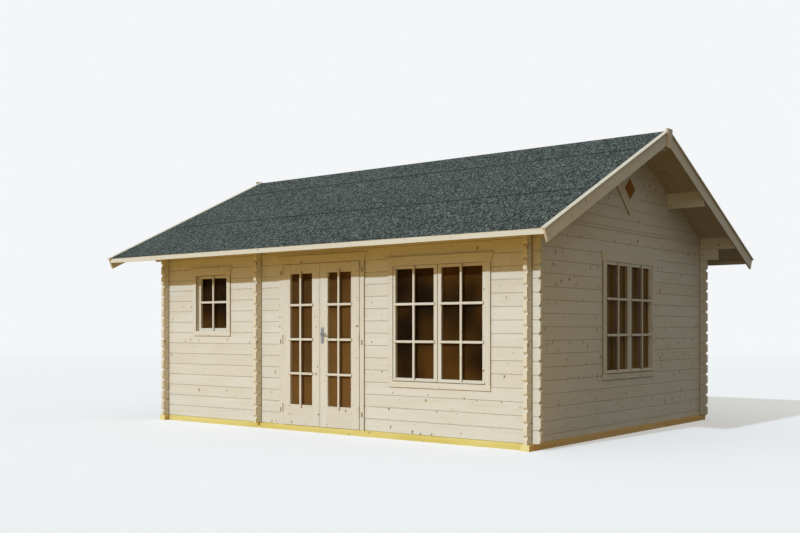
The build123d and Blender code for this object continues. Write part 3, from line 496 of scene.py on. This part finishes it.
def boards_mesh(name, rows):
    """Rows of boards as one mesh: a rectangle with rounded corners, carried from end to end of each and
    drawn in over the last millimetres. A point is start + axis * (a + cut * w) + across * w + out * t,
    for the place a along the board, w across it and t through it. end_steps says how far from the end
    each ring stands and how much it is drawn in, in radii of the corners. The attribute grain holds a, w
    and t with an offset of the board's own, and board holds its tone and whether the point is on an end
    or on a slim side of a thin board, which gets painted shade."""
    table = np.array(rows, float)
    start, last, across, out = table[:, 0:3], table[:, 3:6], table[:, 6:9], table[:, 9:12]
    width, thickness, first_cut, last_cut, edge = table[:, 12:17].T
    length = np.linalg.norm(last - start, axis=1)
    axis = (last - start) / length[:, None]

    turn = np.linspace(0, math.pi / 2, corner_turns)
    turns = (turn[None, :] + np.arange(4)[:, None] * math.pi / 2).ravel()
    corner = np.repeat(np.array(((1, 1), (-1, 1), (-1, -1), (1, -1))), corner_turns, axis=0)
    shift = np.array([step for step, _ in end_steps])
    inset = np.array([draw for _, draw in end_steps])
    radius = edge[:, None, None] * (1 - np.concatenate((inset, inset[::-1])))[None, :, None]
    w = corner[:, 0] * (width / 2 - edge)[:, None, None] + radius * np.cos(turns)
    t = corner[:, 1] * (thickness / 2 - edge)[:, None, None] + radius * np.sin(turns)
    near = edge[:, None] * shift
    far = length[:, None] - edge[:, None] * shift[::-1]
    a = np.concatenate((near, far), axis=1)[:, :, None]
    cuts = np.repeat(np.stack((first_cut, last_cut), axis=1), len(end_steps), axis=1)
    a = a + cuts[:, :, None] * w
    points = (
        start[:, None, None, :]
        + axis[:, None, None, :] * a[..., None]
        + across[:, None, None, :] * w[..., None]
        + out[:, None, None, :] * t[..., None]
    )

    count, rings, sides = a.shape
    index = np.arange(rings * sides).reshape(rings, sides)
    quads = np.stack((index[:-1], np.roll(index[:-1], -1, 1), np.roll(index[1:], -1, 1), index[1:]), -1)
    offsets = np.arange(count) * rings * sides
    faces = (quads.reshape(1, -1, 4) + offsets[:, None, None]).reshape(-1, 4).tolist()
    faces += (index[0][::-1][None] + offsets[:, None]).tolist()
    faces += (index[-1][None] + offsets[:, None]).tolist()
    mesh = bpy.data.meshes.new(name)
    mesh.from_pydata(points.reshape(-1, 3).tolist(), [], faces)

    own = chance.random((count, 3))
    grain = np.stack((a, w, t), -1) + (own * grain_offsets)[:, None, None, :]
    ends = np.zeros((rings, sides))
    ends[[0, -1]] = 1.0
    thin = (thickness < width)[:, None]
    # The slim sides of thin boards, which get painted shade.
    painted_narrow_shade = thin & (np.abs(np.cos(turns)) > 0.99)
    marks = np.stack(np.broadcast_arrays(own[:, 0, None, None], ends[None], painted_narrow_shade[:, None, :]), -1)
    for label, values in (("grain", grain), ("board", marks)):
        attribute = mesh.attributes.new(label, "FLOAT_VECTOR", "POINT")
        attribute.data.foreach_set("vector", values.astype(np.float32).ravel())
    return mesh


def add_piece(name, mesh, material, body, slot, *nodes):
    """Puts a mesh in the scene as a piece that rides on a body and stands for CAD nodes."""
    mesh.materials.append(material)
    piece = bpy.data.objects.new(name, mesh)
    scene.collection.objects.link(piece)
    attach(piece, body)
    if nodes:
        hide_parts(*nodes)


def board_finish(name, painted_shade):
    """Spruce that follows each board by the attributes that boards_mesh gives it, with painted shade:
    dimmed all over by a share, and more on the slim sides of thin boards."""
    material, shader, place = new_finish(name)
    grain = place.node("ShaderNodeAttribute", {"attribute_name": "grain"}, {}, "Vector")
    marks = place.node("ShaderNodeAttribute", {"attribute_name": "board"}, {}, "Vector")
    along, across, depth = grain.parts()
    tone, end, painted_narrow_shade = marks.parts()
    # Painted shade on the slim sides of thin boards, and all over by a share.
    dress_wood(shader, along, across, depth, tone + 0.5, end, painted_narrow_shade * 0.8 + painted_shade, missing=0.7)
    return material


spruce_boards = board_finish("spruce_boards", painted_shade=0.0)
floor_low, floor_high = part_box("floors")
partition_low, partition_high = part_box("partition_wall_front")
floor_rows = []
floor_runs = ((floor_low.x, partition_low.x - floor_gap), (partition_high.x + floor_gap, floor_high.x))
board_count = round((floor_high.y - floor_low.y) / floor_board_width)
board_edges = np.linspace(floor_low.y, floor_high.y, board_count + 1)
floor_middle = (floor_low.z + floor_high.z) / 2
floor_thickness = floor_high.z - floor_low.z
for left, right in floor_runs:
    for near, far in zip(board_edges[:-1], board_edges[1:]):
        floor_rows.append(
            board(level_plane, (left, floor_middle), (right, floor_middle), floor_thickness, near, far)
        )
passage_start = (partition_high.y, floor_middle)
passage_end = (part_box("partition_wall_rear")[0].y, floor_middle)
floor_rows.append(
    board(section_plane, passage_start, passage_end, floor_thickness, partition_low.x, partition_high.x)
)
floor_boards = boards_mesh("floor_boards", floor_rows)
add_piece("floor_boards", floor_boards, spruce_boards, "cabin", "spruce", "floors")

# Roof boards: tongued spruce boards 19 mm thick, nailed over the purlins from ridge to eave. Their
# rounded lower edges leave the thin grooves that show under the overhangs. Sawn, with painted shade all
# over that makes them dimmer than the walls.
pitch = math.radians(25.5)
ridge_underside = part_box("purlins")[1].z
roof_thickness = 0.019
roof_board_width = 0.096
roof_board_edge = 0.003
eave = -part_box("eave_fascias")[0].y
trim_thickness = 0.020


def on_slope(distance, lift):
    """Sideways and upward place of a point on the front slope, down from the ridge and square to it."""
    y = -distance * math.cos(pitch) - lift * math.sin(pitch)
    return y, ridge_underside - distance * math.sin(pitch) + lift * math.cos(pitch)


def slope_board(end, low, high, back, front, plumb_end, edge=arris):
    """A board from the ridge, where it is cut plumb, down the front slope to a plumb or square end.
    low and high are the lifts of its faces over the underside of the roof boards."""
    middle = (low + high) / 2
    plumb = math.tan(pitch)
    last = end - middle * plumb if plumb_end else end
    ends = (on_slope(-middle * plumb, middle), on_slope(last, middle))
    return board(section_plane, *ends, high - low, back, front, (plumb, plumb * plumb_end), edge)


def mirrored(row):
    """The same board on the rear half."""
    turned = np.array(row)
    turned[[1, 4, 7, 10]] *= -1
    turned[6:9] *= -1
    turned[14:16] *= -1
    return tuple(turned)


roof_low, roof_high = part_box("roof_boards_front")
board_count = round((roof_high.x - roof_low.x) / roof_board_width)
edges = np.linspace(roof_low.x, roof_high.x, board_count + 1)
roof_board_end = (eave - trim_thickness) / math.cos(pitch)
roof_rows = [
    slope_board(roof_board_end, 0.0, roof_thickness, near, far, True, roof_board_edge)
    for near, far in zip(edges[:-1], edges[1:])
]
# Painted shade: the roof boards are dimmed all over by this share.
roof_spruce_painted_shade = board_finish("spruce_roof_boards_painted_shade", painted_shade=0.65)
for side, rows in (("front", roof_rows), ("rear", [mirrored(row) for row in roof_rows])):
    mesh = boards_mesh(f"roof_{side}_boarding", rows)
    add_piece(f"roof_{side}_boarding", mesh, roof_spruce_painted_shade, "cabin", "spruce", f"roof_boards_{side}")

# Fascias: planed spruce strips nailed along the feet of the roof boards, front and rear, between the
# bargeboards.
fascia_height = 0.057
front_plane = (Vector((0, -half_depth, 0)), Vector((1, 0, 0)), Vector((0, -1, 0)))
fascia_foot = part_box("eave_fascias")[0].z + fascia_height / 2
fascia_row = board(
    front_plane,
    (roof_low.x, fascia_foot),
    (roof_high.x, fascia_foot),
    fascia_height,
    eave - half_depth - trim_thickness,
    eave - half_depth,
)
fascia_mesh = boards_mesh("fascia_boards", [fascia_row, mirrored(fascia_row)])
add_piece("fascia_boards", fascia_mesh, spruce_boards, "cabin", "spruce", "eave_fascias")

# Bargeboards, cover strips and apex plates: planed spruce nailed over the ends of purlins and boards. The
# cover strip holds the felt's edge down and stands out a little, and the plate, narrower at its foot,
# hides the joint of the two bargeboards.
bargeboard_width = 0.132
felt_top = 0.022
cover_strip_width = 0.060
cover_strip_thickness = 0.010
cover_strip_proud = 0.021
plate_foot_width = 0.076
plate_drop = 0.027
gable_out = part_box("front_bargeboards")[1].x
square_end = (eave + (fascia_height * math.cos(pitch) - roof_thickness) * math.sin(pitch)) / math.cos(pitch)
trim_kinds = (
    ("bargeboards", roof_thickness - bargeboard_width, roof_thickness, trim_thickness, 0.0),
    ("cover_strips", felt_top, felt_top + cover_strip_thickness, cover_strip_width, cover_strip_proud),
)
for kind, low, high, reach, proud in trim_kinds:
    outer = gable_out + proud
    rows = [
        slope_board(square_end, low, high, -outer, reach - outer, False),
        slope_board(square_end, low, high, outer - reach, outer, False),
    ]
    for side, side_rows in (("front", rows), ("rear", [mirrored(row) for row in rows])):
        mesh = boards_mesh(f"{side}_gable_{kind}", side_rows)
        add_piece(f"{side}_gable_{kind}", mesh, spruce_boards, "cabin", "spruce", f"{side}_{kind}")


def flared_board(plane, left, right, bottom, height, flare, back, front):
    """A level board whose ends lean out, so that its top is longer than its foot by a flare each side."""
    lean = flare / height
    middle = bottom + height / 2
    ends = ((left - flare / 2, middle), (right + flare / 2, middle))
    return board(plane, *ends, height, back, front, (-lean, lean))


plate_low, plate_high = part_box("apex_plates")
plate_flare = (plate_high.y - plate_low.y - plate_foot_width) / 2
plate_half = plate_foot_width / 2
plate_foot = plate_low.z - plate_drop
plate_shape = (-plate_half, plate_half, plate_foot, plate_high.z - plate_foot, plate_flare)
plate_rows = [
    flared_board(section_plane, *plate_shape, plate_low.x, -gable_out),
    flared_board(section_plane, *plate_shape, gable_out, plate_high.x),
]
plate_mesh = boards_mesh("ridge_plates", plate_rows)
add_piece("ridge_plates", plate_mesh, spruce_boards, "cabin", "spruce", "apex_plates")

# Roof felt: bitumen felt in three strips a slope with a strip over the ridge, each lapped over the one
# below and faced with dark green-grey slate granules. Its laps show as dark lines.
felt_middle = (43, 50, 45)
felt_soft = (54, 61, 55)
felt_dark = (12, 18, 16)
felt_pale = (131, 137, 127)
felt_lap = (22, 29, 27)
felt_laps = (0.600, 1.885)
lap_drop = 0.006
lap_line_width = (0.004, 0.024)
granules_per_metre = 95.0
granule_relief = 0.001
felt_finish, felt_shader, felt_place = new_finish("slate_felt")
x, y, _ = felt_place.parts()
down = y.size() / math.cos(pitch)
flakes = felt_place.node(
    "ShaderNodeTexVoronoi",
    {"voronoi_dimensions": "2D"},
    {"Vector": felt_place.vector(x, down * 0.5, 0.0), "Scale": granules_per_metre},
    "Color",
)
flake, _, _ = flakes.parts()
clumps = felt_place.noise(felt_place.vector(x * 30.0, down * 15.0, 0.0), 1.0, 2.0, 0.8)
weather = felt_place.noise(felt_place.vector(x * 1.4, down * 0.9, 0.0), 1.0, 3.0)
grit = flake * 0.9 + clumps * 0.35 - 0.12
felt = weather.ease(0.3, 0.7).tint(colour(*felt_middle), colour(*felt_soft))
felt = (grit.within(0.15, 0.45) * 0.95).tint(felt, colour(*felt_dark))
felt = (grit.ease(0.6, 0.9) * 0.7).tint(felt, colour(*felt_pale))
ripple = (felt_place.noise(felt_place.vector(x * 7.0, 0.0, 0.0), 1.0, 3.0) - 0.5) * 0.03
lap_line = down * 0.0
for lap in felt_laps:
    lap_line = lap_line.most((down + ripple - lap - lap_drop).size().within(*lap_line_width))
felt = (lap_line * 0.75).tint(felt, colour(*felt_lap))
connect(felt, felt_shader.inputs["Base Color"])
connect(0.9 + clumps * 0.08, felt_shader.inputs["Roughness"])
felt_shader.inputs["Specular IOR Level"].default_value = 0.25
felt_bump = {"Height": grit, "Strength": 0.3, "Distance": granule_relief}
connect(felt_place.node("ShaderNodeBump", {}, felt_bump), felt_shader.inputs["Normal"])
finish_nodes(felt_finish, "roof_felt_front", "roof_felt_rear", "ridge_felt")

# Window surrounds: a lining through the wall, casing boards on its face and a header whose ends flare
# outwards, all planed spruce. The wide windows have stops behind their sashes.
lining_side = 0.027
lining_sill = 0.023
lining_head = 0.082
lining_depth = 0.060
small_lining_depth = 0.075
casing_width = 0.062
casing_thickness = 0.018
header_height = 0.096
header_flare = 0.035
stop_width = 0.015
sash_proud = 0.012
sash_thickness = 0.042
gable_plane = (Vector((half_length, 0, 0)), Vector((0, 1, 0)), Vector((1, 0, 0)))


def header_row(plane, left, right, bottom):
    """The board over an opening."""
    return flared_board(plane, left, right, bottom, header_height, header_flare, 0.0, casing_thickness)


def upright(plane, left, right, bottom, top, back, front, edge=arris):
    """A board that stands, given by its edges."""
    middle = (left + right) / 2
    return board(plane, (middle, bottom), (middle, top), right - left, back, front, (0.0, 0.0), edge)


def crosswise(plane, left, right, bottom, top, back, front, edge=arris):
    """A board that lies, given by its edges."""
    middle = (bottom + top) / 2
    return board(plane, (left, middle), (right, middle), top - bottom, back, front, (0.0, 0.0), edge)


def frame_rows(plane, box, sides, foot, head, back, front, edge=arris):
    """Four boards inside a box: the uprights run through, and the cross pieces stand between them."""
    left, right, bottom, top = box
    return [
        upright(plane, left, left + sides[0], bottom, top, back, front, edge),
        upright(plane, right - sides[1], right, bottom, top, back, front, edge),
        crosswise(plane, left + sides[0], right - sides[1], bottom, bottom + foot, back, front, edge),
        crosswise(plane, left + sides[0], right - sides[1], top - head, top, back, front, edge),
    ]


def light_box(node, plane):
    """Inner edges of a window's lining, from the box of its surround."""
    low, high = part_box(node)
    side = 0 if plane is front_plane else 1
    left = low[side] + header_flare + casing_width
    right = high[side] - header_flare - casing_width
    return left, right, low.z + casing_width, high.z - header_height


def surround_rows(plane, inner, depth, has_stops):
    """Lining, stops, casing and header round the inner edges of a window."""
    left, right, bottom, top = inner
    opening = (left - lining_side, right + lining_side, bottom - lining_sill, top + lining_head)
    rows = frame_rows(plane, opening, (lining_side, lining_side), lining_sill, lining_head, -depth, 0.0)
    if has_stops:
        stops = (stop_width, stop_width)
        rows += frame_rows(plane, inner, stops, stop_width, stop_width, -depth, sash_proud - sash_thickness)
    foot = bottom - casing_width
    outer_left = left - casing_width
    outer_right = right + casing_width
    rows.append(upright(plane, outer_left, left, bottom, top, 0.0, casing_thickness))
    rows.append(upright(plane, right, outer_right, bottom, top, 0.0, casing_thickness))
    rows.append(crosswise(plane, outer_left, outer_right, foot, bottom, 0.0, casing_thickness))
    rows.append(header_row(plane, outer_left, outer_right, top))
    return rows


window_kinds = (
    ("front_window", "front_window_surround", front_plane, lining_depth, True),
    ("gable_window", "gable_window_surround", gable_plane, lining_depth, True),
    ("small_window", "small_window_surround", front_plane, small_lining_depth, False),
)
for name, node, plane, depth, has_stops in window_kinds:
    rows = surround_rows(plane, light_box(node, plane), depth, has_stops)
    add_piece(f"{name}_casing", boards_mesh(f"{name}_casing", rows), spruce_boards, "cabin", "spruce", node)

# Sashes: planed spruce stiles and rails round each pane, with a grille of glazing bars that is planted on
# the frame and runs over its edges. Wide windows have two sashes of six lights over a drip bar, the small
# one has four lights.
sash_gap = 0.003
sash_meeting = 0.007
sash_foot_gap = 0.007
drip_height = 0.014
drip_proud = 0.018
sash_stile = 0.032
meeting_stile = 0.046
sash_rail = 0.032
small_sash_frame = 0.036
small_sash_recess = 0.032
small_sash_thickness = 0.040
bar_width = 0.028
bar_proud = 0.017
bar_rebate = 0.005
bar_overlap = 0.018
bar_overrun = 0.030
bar_edge = 0.005
level_bar_rise = 0.001
front_bar_heights = (1.057, 1.458)
small_bar_height = 1.531


def light_inside(box, sides, rail):
    """Edges of the light that a sash frames."""
    left, right, bottom, top = box
    return left + sides[0], right - sides[1], bottom + rail, top - rail


def bar_rows(plane, light, heights, face):
    """One upright bar in the middle of a light and level bars at the given heights, over a sash face."""
    left, right, bottom, top = light
    middle = (left + right) / 2
    back = face - bar_rebate
    front = face + bar_proud
    half = bar_width / 2
    foot, head, reach = bottom - bar_overrun, top + bar_overrun, bar_overlap
    rows = [upright(plane, middle - half, middle + half, foot, head, back, front, bar_edge)]
    for height in heights:
        low, high = height - half, height + half
        rows.append(
            crosswise(plane, left - reach, right + reach, low, high, back, front + level_bar_rise, bar_edge)
        )
    return rows


def wide_sash_rows(plane, inner, heights):
    """Two sashes with their bars."""
    left, right, bottom, top = inner
    middle = (left + right) / 2
    rows = []
    for start, end, sides in (
        (left + sash_gap, middle - sash_meeting / 2, (sash_stile, meeting_stile)),
        (middle + sash_meeting / 2, right - sash_gap, (meeting_stile, sash_stile)),
    ):
        foot = bottom + sash_foot_gap
        box = (start, end, foot, top - sash_gap)
        rows += frame_rows(plane, box, sides, sash_rail, sash_rail, sash_proud - sash_thickness, sash_proud)
        rows += bar_rows(plane, light_inside(box, sides, sash_rail), heights, sash_proud)
        drip_front = sash_proud + drip_proud
        rows.append(crosswise(plane, start, end, foot, foot + drip_height, sash_proud, drip_front))
    return rows


for name, node, plane, lift in (
    ("front_window", "front_window_surround", front_plane, 0.0),
    ("gable_window", "gable_window_surround", gable_plane, log_height / 2),
):
    heights = [height + lift for height in front_bar_heights]
    rows = wide_sash_rows(plane, light_box(node, plane), heights)
    mesh = boards_mesh(f"{name}_joinery", rows)
    add_piece(f"{name}_joinery", mesh, spruce_boards, "cabin", "spruce", f"{name}_sashes")

left, right, bottom, top = light_box("small_window_surround", front_plane)
small_box = (left + sash_gap, right - sash_gap, bottom, top - sash_gap)
small_sides = (small_sash_frame, small_sash_frame)
small_back = -small_sash_recess - small_sash_thickness
small_light = light_inside(small_box, small_sides, small_sash_frame)
small_rows = frame_rows(
    front_plane, small_box, small_sides, small_sash_frame, small_sash_frame, small_back, -small_sash_recess
)
small_rows += bar_rows(front_plane, small_light, (small_bar_height,), -small_sash_recess)
small_mesh = boards_mesh("small_window_joinery", small_rows)
add_piece("small_window_joinery", small_mesh, spruce_boards, "cabin", "spruce", "small_window_sash")

# Door surround: jambs with stops, a head stop, a threshold and casing boards under a flared header, all
# planed spruce. It is fixed in its opening as the windows' linings are.
threshold_height = 0.030
door_stop = 0.013
head_stop = 0.027
door_stop_back = -lining_depth
door_stop_front = -0.025
door_low, door_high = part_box("door_surround")
door_left = door_low.x + header_flare + casing_width
door_right = door_high.x - header_flare - casing_width
door_head = door_high.z - header_height
door_foot = door_low.z
door_rows = []
for width, back, front in ((lining_side, door_stop_back, 0.0), (casing_width, 0.0, casing_thickness)):
    left, right = door_left - width, door_right + width
    door_rows.append(upright(front_plane, left, door_left, door_foot, door_head, back, front))
    door_rows.append(upright(front_plane, door_right, right, door_foot, door_head, back, front))
door_rows.append(header_row(front_plane, left, right, door_head))
door_rows += frame_rows(
    front_plane,
    (door_left, door_right, door_foot, door_head),
    (door_stop, door_stop),
    threshold_height,
    head_stop,
    door_stop_back,
    door_stop_front,
)
door_mesh = boards_mesh("door_casing", door_rows)
add_piece("door_casing", door_mesh, spruce_boards, "cabin", "spruce", "door_surround")

# Door leaves: planed spruce stiles and rails, mortised together, which show a fine line at each shoulder.
# Bars on both faces divide each pane in eight.
leaf_bar_heights = (0.674, 1.072, 1.472)
leaf_proud = 0.022
shoulder_line = (0.0005, 0.0016)
room_plane = (front_plane[0], front_plane[1], -front_plane[2])


def leaf_finish(name, glass):
    """Spruce whose grain stands in the stiles and lies in the rails, with a line at their shoulders."""
    material, shader, place = new_finish(name)
    low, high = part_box(glass)
    x, y, z = place.parts()
    middle = (low.x + high.x) / 2
    half = (high.x - low.x) / 2
    between = (x - middle).size() < half
    past = ((z - high.z) * (z - low.z)) > 0.0
    rail = between * past
    along = z * (1 - rail) + x * rail
    across = x * (1 - rail) + z * rail + rail * 3.0
    shoulder = ((x - middle).size() - half).size().within(*shoulder_line) * past
    dress_wood(shader, along, across, y, rail * 0.3 + 0.8, facing(place, 2), shoulder * 0.4, missing=0.6)
    return material


for side in ("left", "right"):
    node = f"{side}_door_leaf"
    glass = f"{side}_leaf_glass"
    finish_nodes(leaf_finish(f"spruce_{side}_leaf", glass), node)
    low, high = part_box(glass)
    light = (low.x, high.x, low.z, high.z)
    leaf_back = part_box(node)[1].y + half_depth
    rows = bar_rows(front_plane, light, leaf_bar_heights, leaf_proud)
    rows += bar_rows(room_plane, light, leaf_bar_heights, leaf_back)
    mesh = boards_mesh(f"{side}_leaf_bars", rows)
    add_piece(f"{side}_leaf_bars", mesh, spruce_boards, f"{side}_leaf", "spruce")

# Glass: clear float glass 4 mm thick, held in rebates of the frames. Its colour is painted light: a painted
# view of a dark room with soft warm patches, lighter in the door and on the shaded gable, and on the small
# panes of the gables a painted view of the lit wood under the roof.
diamond_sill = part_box("diamond_casings")[0].z
gable_glass_reach = half_length - 0.1
glass_cover = 0.78
# Painted light: the colours of the rooms and wood seen through the panes, not a tint of the glass itself.
painted_dark_room = (30, 20, 8)
painted_warm_room = (92, 58, 20)
painted_door_room = (118, 82, 40)
painted_gable_room = (128, 95, 38)
painted_lit_roof_wood = (176, 122, 62)
glass_finish, glass_shader, glass_place = new_finish("float_glass_painted_room")
glass_shader.inputs["Roughness"].default_value = 0.03
glass_shader.inputs["Specular IOR Level"].default_value = 0.015
glass_tree = glass_finish.node_tree
clear = Field(glass_tree.nodes.new("ShaderNodeBsdfTransparent").outputs[0])
x, _, z = glass_place.parts()
# Painted light: warm patches of the lit room, fading higher up, which also make the pane a little less
# clear.
room = (glass_place.noise(glass_place, 1.3, 2.0) - z * 0.1).ease(0.18, 0.6)
painted_room_view = room.tint(colour(*painted_dark_room), colour(*painted_warm_room))
painted_room_view = ((x.size() < door_right) * (room * 0.5 + 0.5)).tint(painted_room_view, colour(*painted_door_room))
painted_room_view = ((x.size() > gable_glass_reach) * (room * 0.4 + 0.6)).tint(painted_room_view, colour(*painted_gable_room))
painted_room_view = (z > diamond_sill).tint(painted_room_view, colour(*painted_lit_roof_wood))
connect(painted_room_view, glass_shader.inputs["Base Color"])
cover = room * 0.1 + glass_cover
mixed = clear.node("ShaderNodeMixShader", {}, {0: cover, 1: clear, 2: Field(glass_shader.outputs[0])})
connect(mixed, glass_tree.nodes["Material Output"].inputs["Surface"])
finish_nodes(glass_finish, "window_panes", "left_leaf_glass", "right_leaf_glass")

# Hinges and handle: brown steel barrels on flaps lacquered like the wood, and a satin steel handle. The
# lower knuckles carry the pins and are screwed to the casing, the upper ones turn with the leaves.
hinge_radius = 0.0075
barrel_edge = (0.0070, 0.0085)
barrel_shades = ((146, 120, 88), (100, 80, 58))
handle_shades = ((160, 158, 154), (120, 118, 116))
pins_low, pins_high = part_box("hinge_pins")
hinge_axis = pins_high.x - hinge_radius
door_centre = (pins_low.x + pins_high.x) / 2


def steel_finish(name, light, dark, metal):
    """Steel with level brushing and cloudy dulling, from a light to a dark shade."""
    material, shader, place = new_finish(name)
    x, y, z = place.parts()
    brushing = place.noise(place.vector(x * 60.0, y * 60.0, z * 900.0), 1.0, 2.0)
    dulling = place.noise(place, 22.0, 3.0)
    shade = (brushing * 0.5 + dulling * 0.5).ease(0.3, 0.7).tint(colour(*light), colour(*dark))
    connect(0.34 + dulling * 0.25, shader.inputs["Roughness"])
    shader.inputs["Metallic"].default_value = metal
    return material, shader, shade, x


hinge_finish, hinge_shader, hinge_shade, x = steel_finish("brown_steel", *barrel_shades, metal=0.0)
hinge_shader.inputs["Specular IOR Level"].default_value = 0.2
from_axis = ((x - door_centre).size() - (hinge_axis - door_centre)).size()
barrel = from_axis.within(*barrel_edge)
connect(barrel.tint(colour(*warm_wood), hinge_shade), hinge_shader.inputs["Base Color"])
finish_nodes(hinge_finish, "hinge_pins", "left_leaf_hinges", "right_leaf_hinges")
handle_finish, handle_shader, handle_shade, _ = steel_finish("satin_steel", *handle_shades, metal=0.5)
connect(handle_shade, handle_shader.inputs["Base Color"])
finish_nodes(handle_finish, "door_handle")

# Diamond lights: four wide planed spruce boards mitred round a small pane, one light in each gable
# triangle. The boards are nailed to the logs, and the pane stands just behind their faces.
diamond_half = (0.137, 0.125)
diamond_outer = 2.4
diamond_low, diamond_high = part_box("diamond_casings")
diamond_height = (diamond_low.z + diamond_high.z) / 2
left_plane = (Vector((-half_length, 0, 0)), Vector((0, 1, 0)), Vector((-1, 0, 0)))
corner_places = ((1, 0), (0, 1), (-1, 0), (0, -1))
middle_scale = (1 + diamond_outer) / 2
side_length = math.hypot(*diamond_half)
diamond_width = (diamond_outer - 1) * diamond_half[0] * diamond_half[1] / side_length
side_turn = math.atan2(diamond_half[1], diamond_half[0])
slants = (math.tan(side_turn), 1 / math.tan(side_turn))
pane_depths = (0.006, 0.010)
pane_edge = 0.0004
diamond_rows = []
pane_rows = []
for plane, turn in ((gable_plane, -1), (left_plane, 1)):
    for number in range(4):
        first, last = corner_places[number], corner_places[(number + 1) % 4]
        ends = [
            (
                corner[0] * diamond_half[0] * middle_scale,
                diamond_height + corner[1] * diamond_half[1] * middle_scale,
            )
            for corner in (first, last)
        ]
        cuts = (-slants[1], slants[0]) if number % 2 == 0 else (-slants[0], slants[1])
        cuts = tuple(turn * cut for cut in cuts)
        diamond_rows.append(board(plane, *ends, diamond_width, 0.0, casing_thickness, cuts))
    across_place, height_place = diamond_half[0] / 2, diamond_half[1] / 2
    lean = -turn * (diamond_half[0] ** 2 - diamond_half[1] ** 2) / (2 * diamond_half[0] * diamond_half[1])
    pane_ends = (
        (across_place, diamond_height - height_place),
        (-across_place, diamond_height + height_place),
    )
    pane_width = 2 * diamond_half[0] * diamond_half[1] / side_length
    pane_rows.append(board(plane, *pane_ends, pane_width, *pane_depths, (lean, lean), pane_edge))
diamond_mesh = boards_mesh("diamond_boards", diamond_rows)
add_piece("diamond_boards", diamond_mesh, spruce_boards, "cabin", "spruce", "diamond_casings")
add_piece("diamond_panes", boards_mesh("diamond_panes", pane_rows), glass_finish, "cabin", "glass")
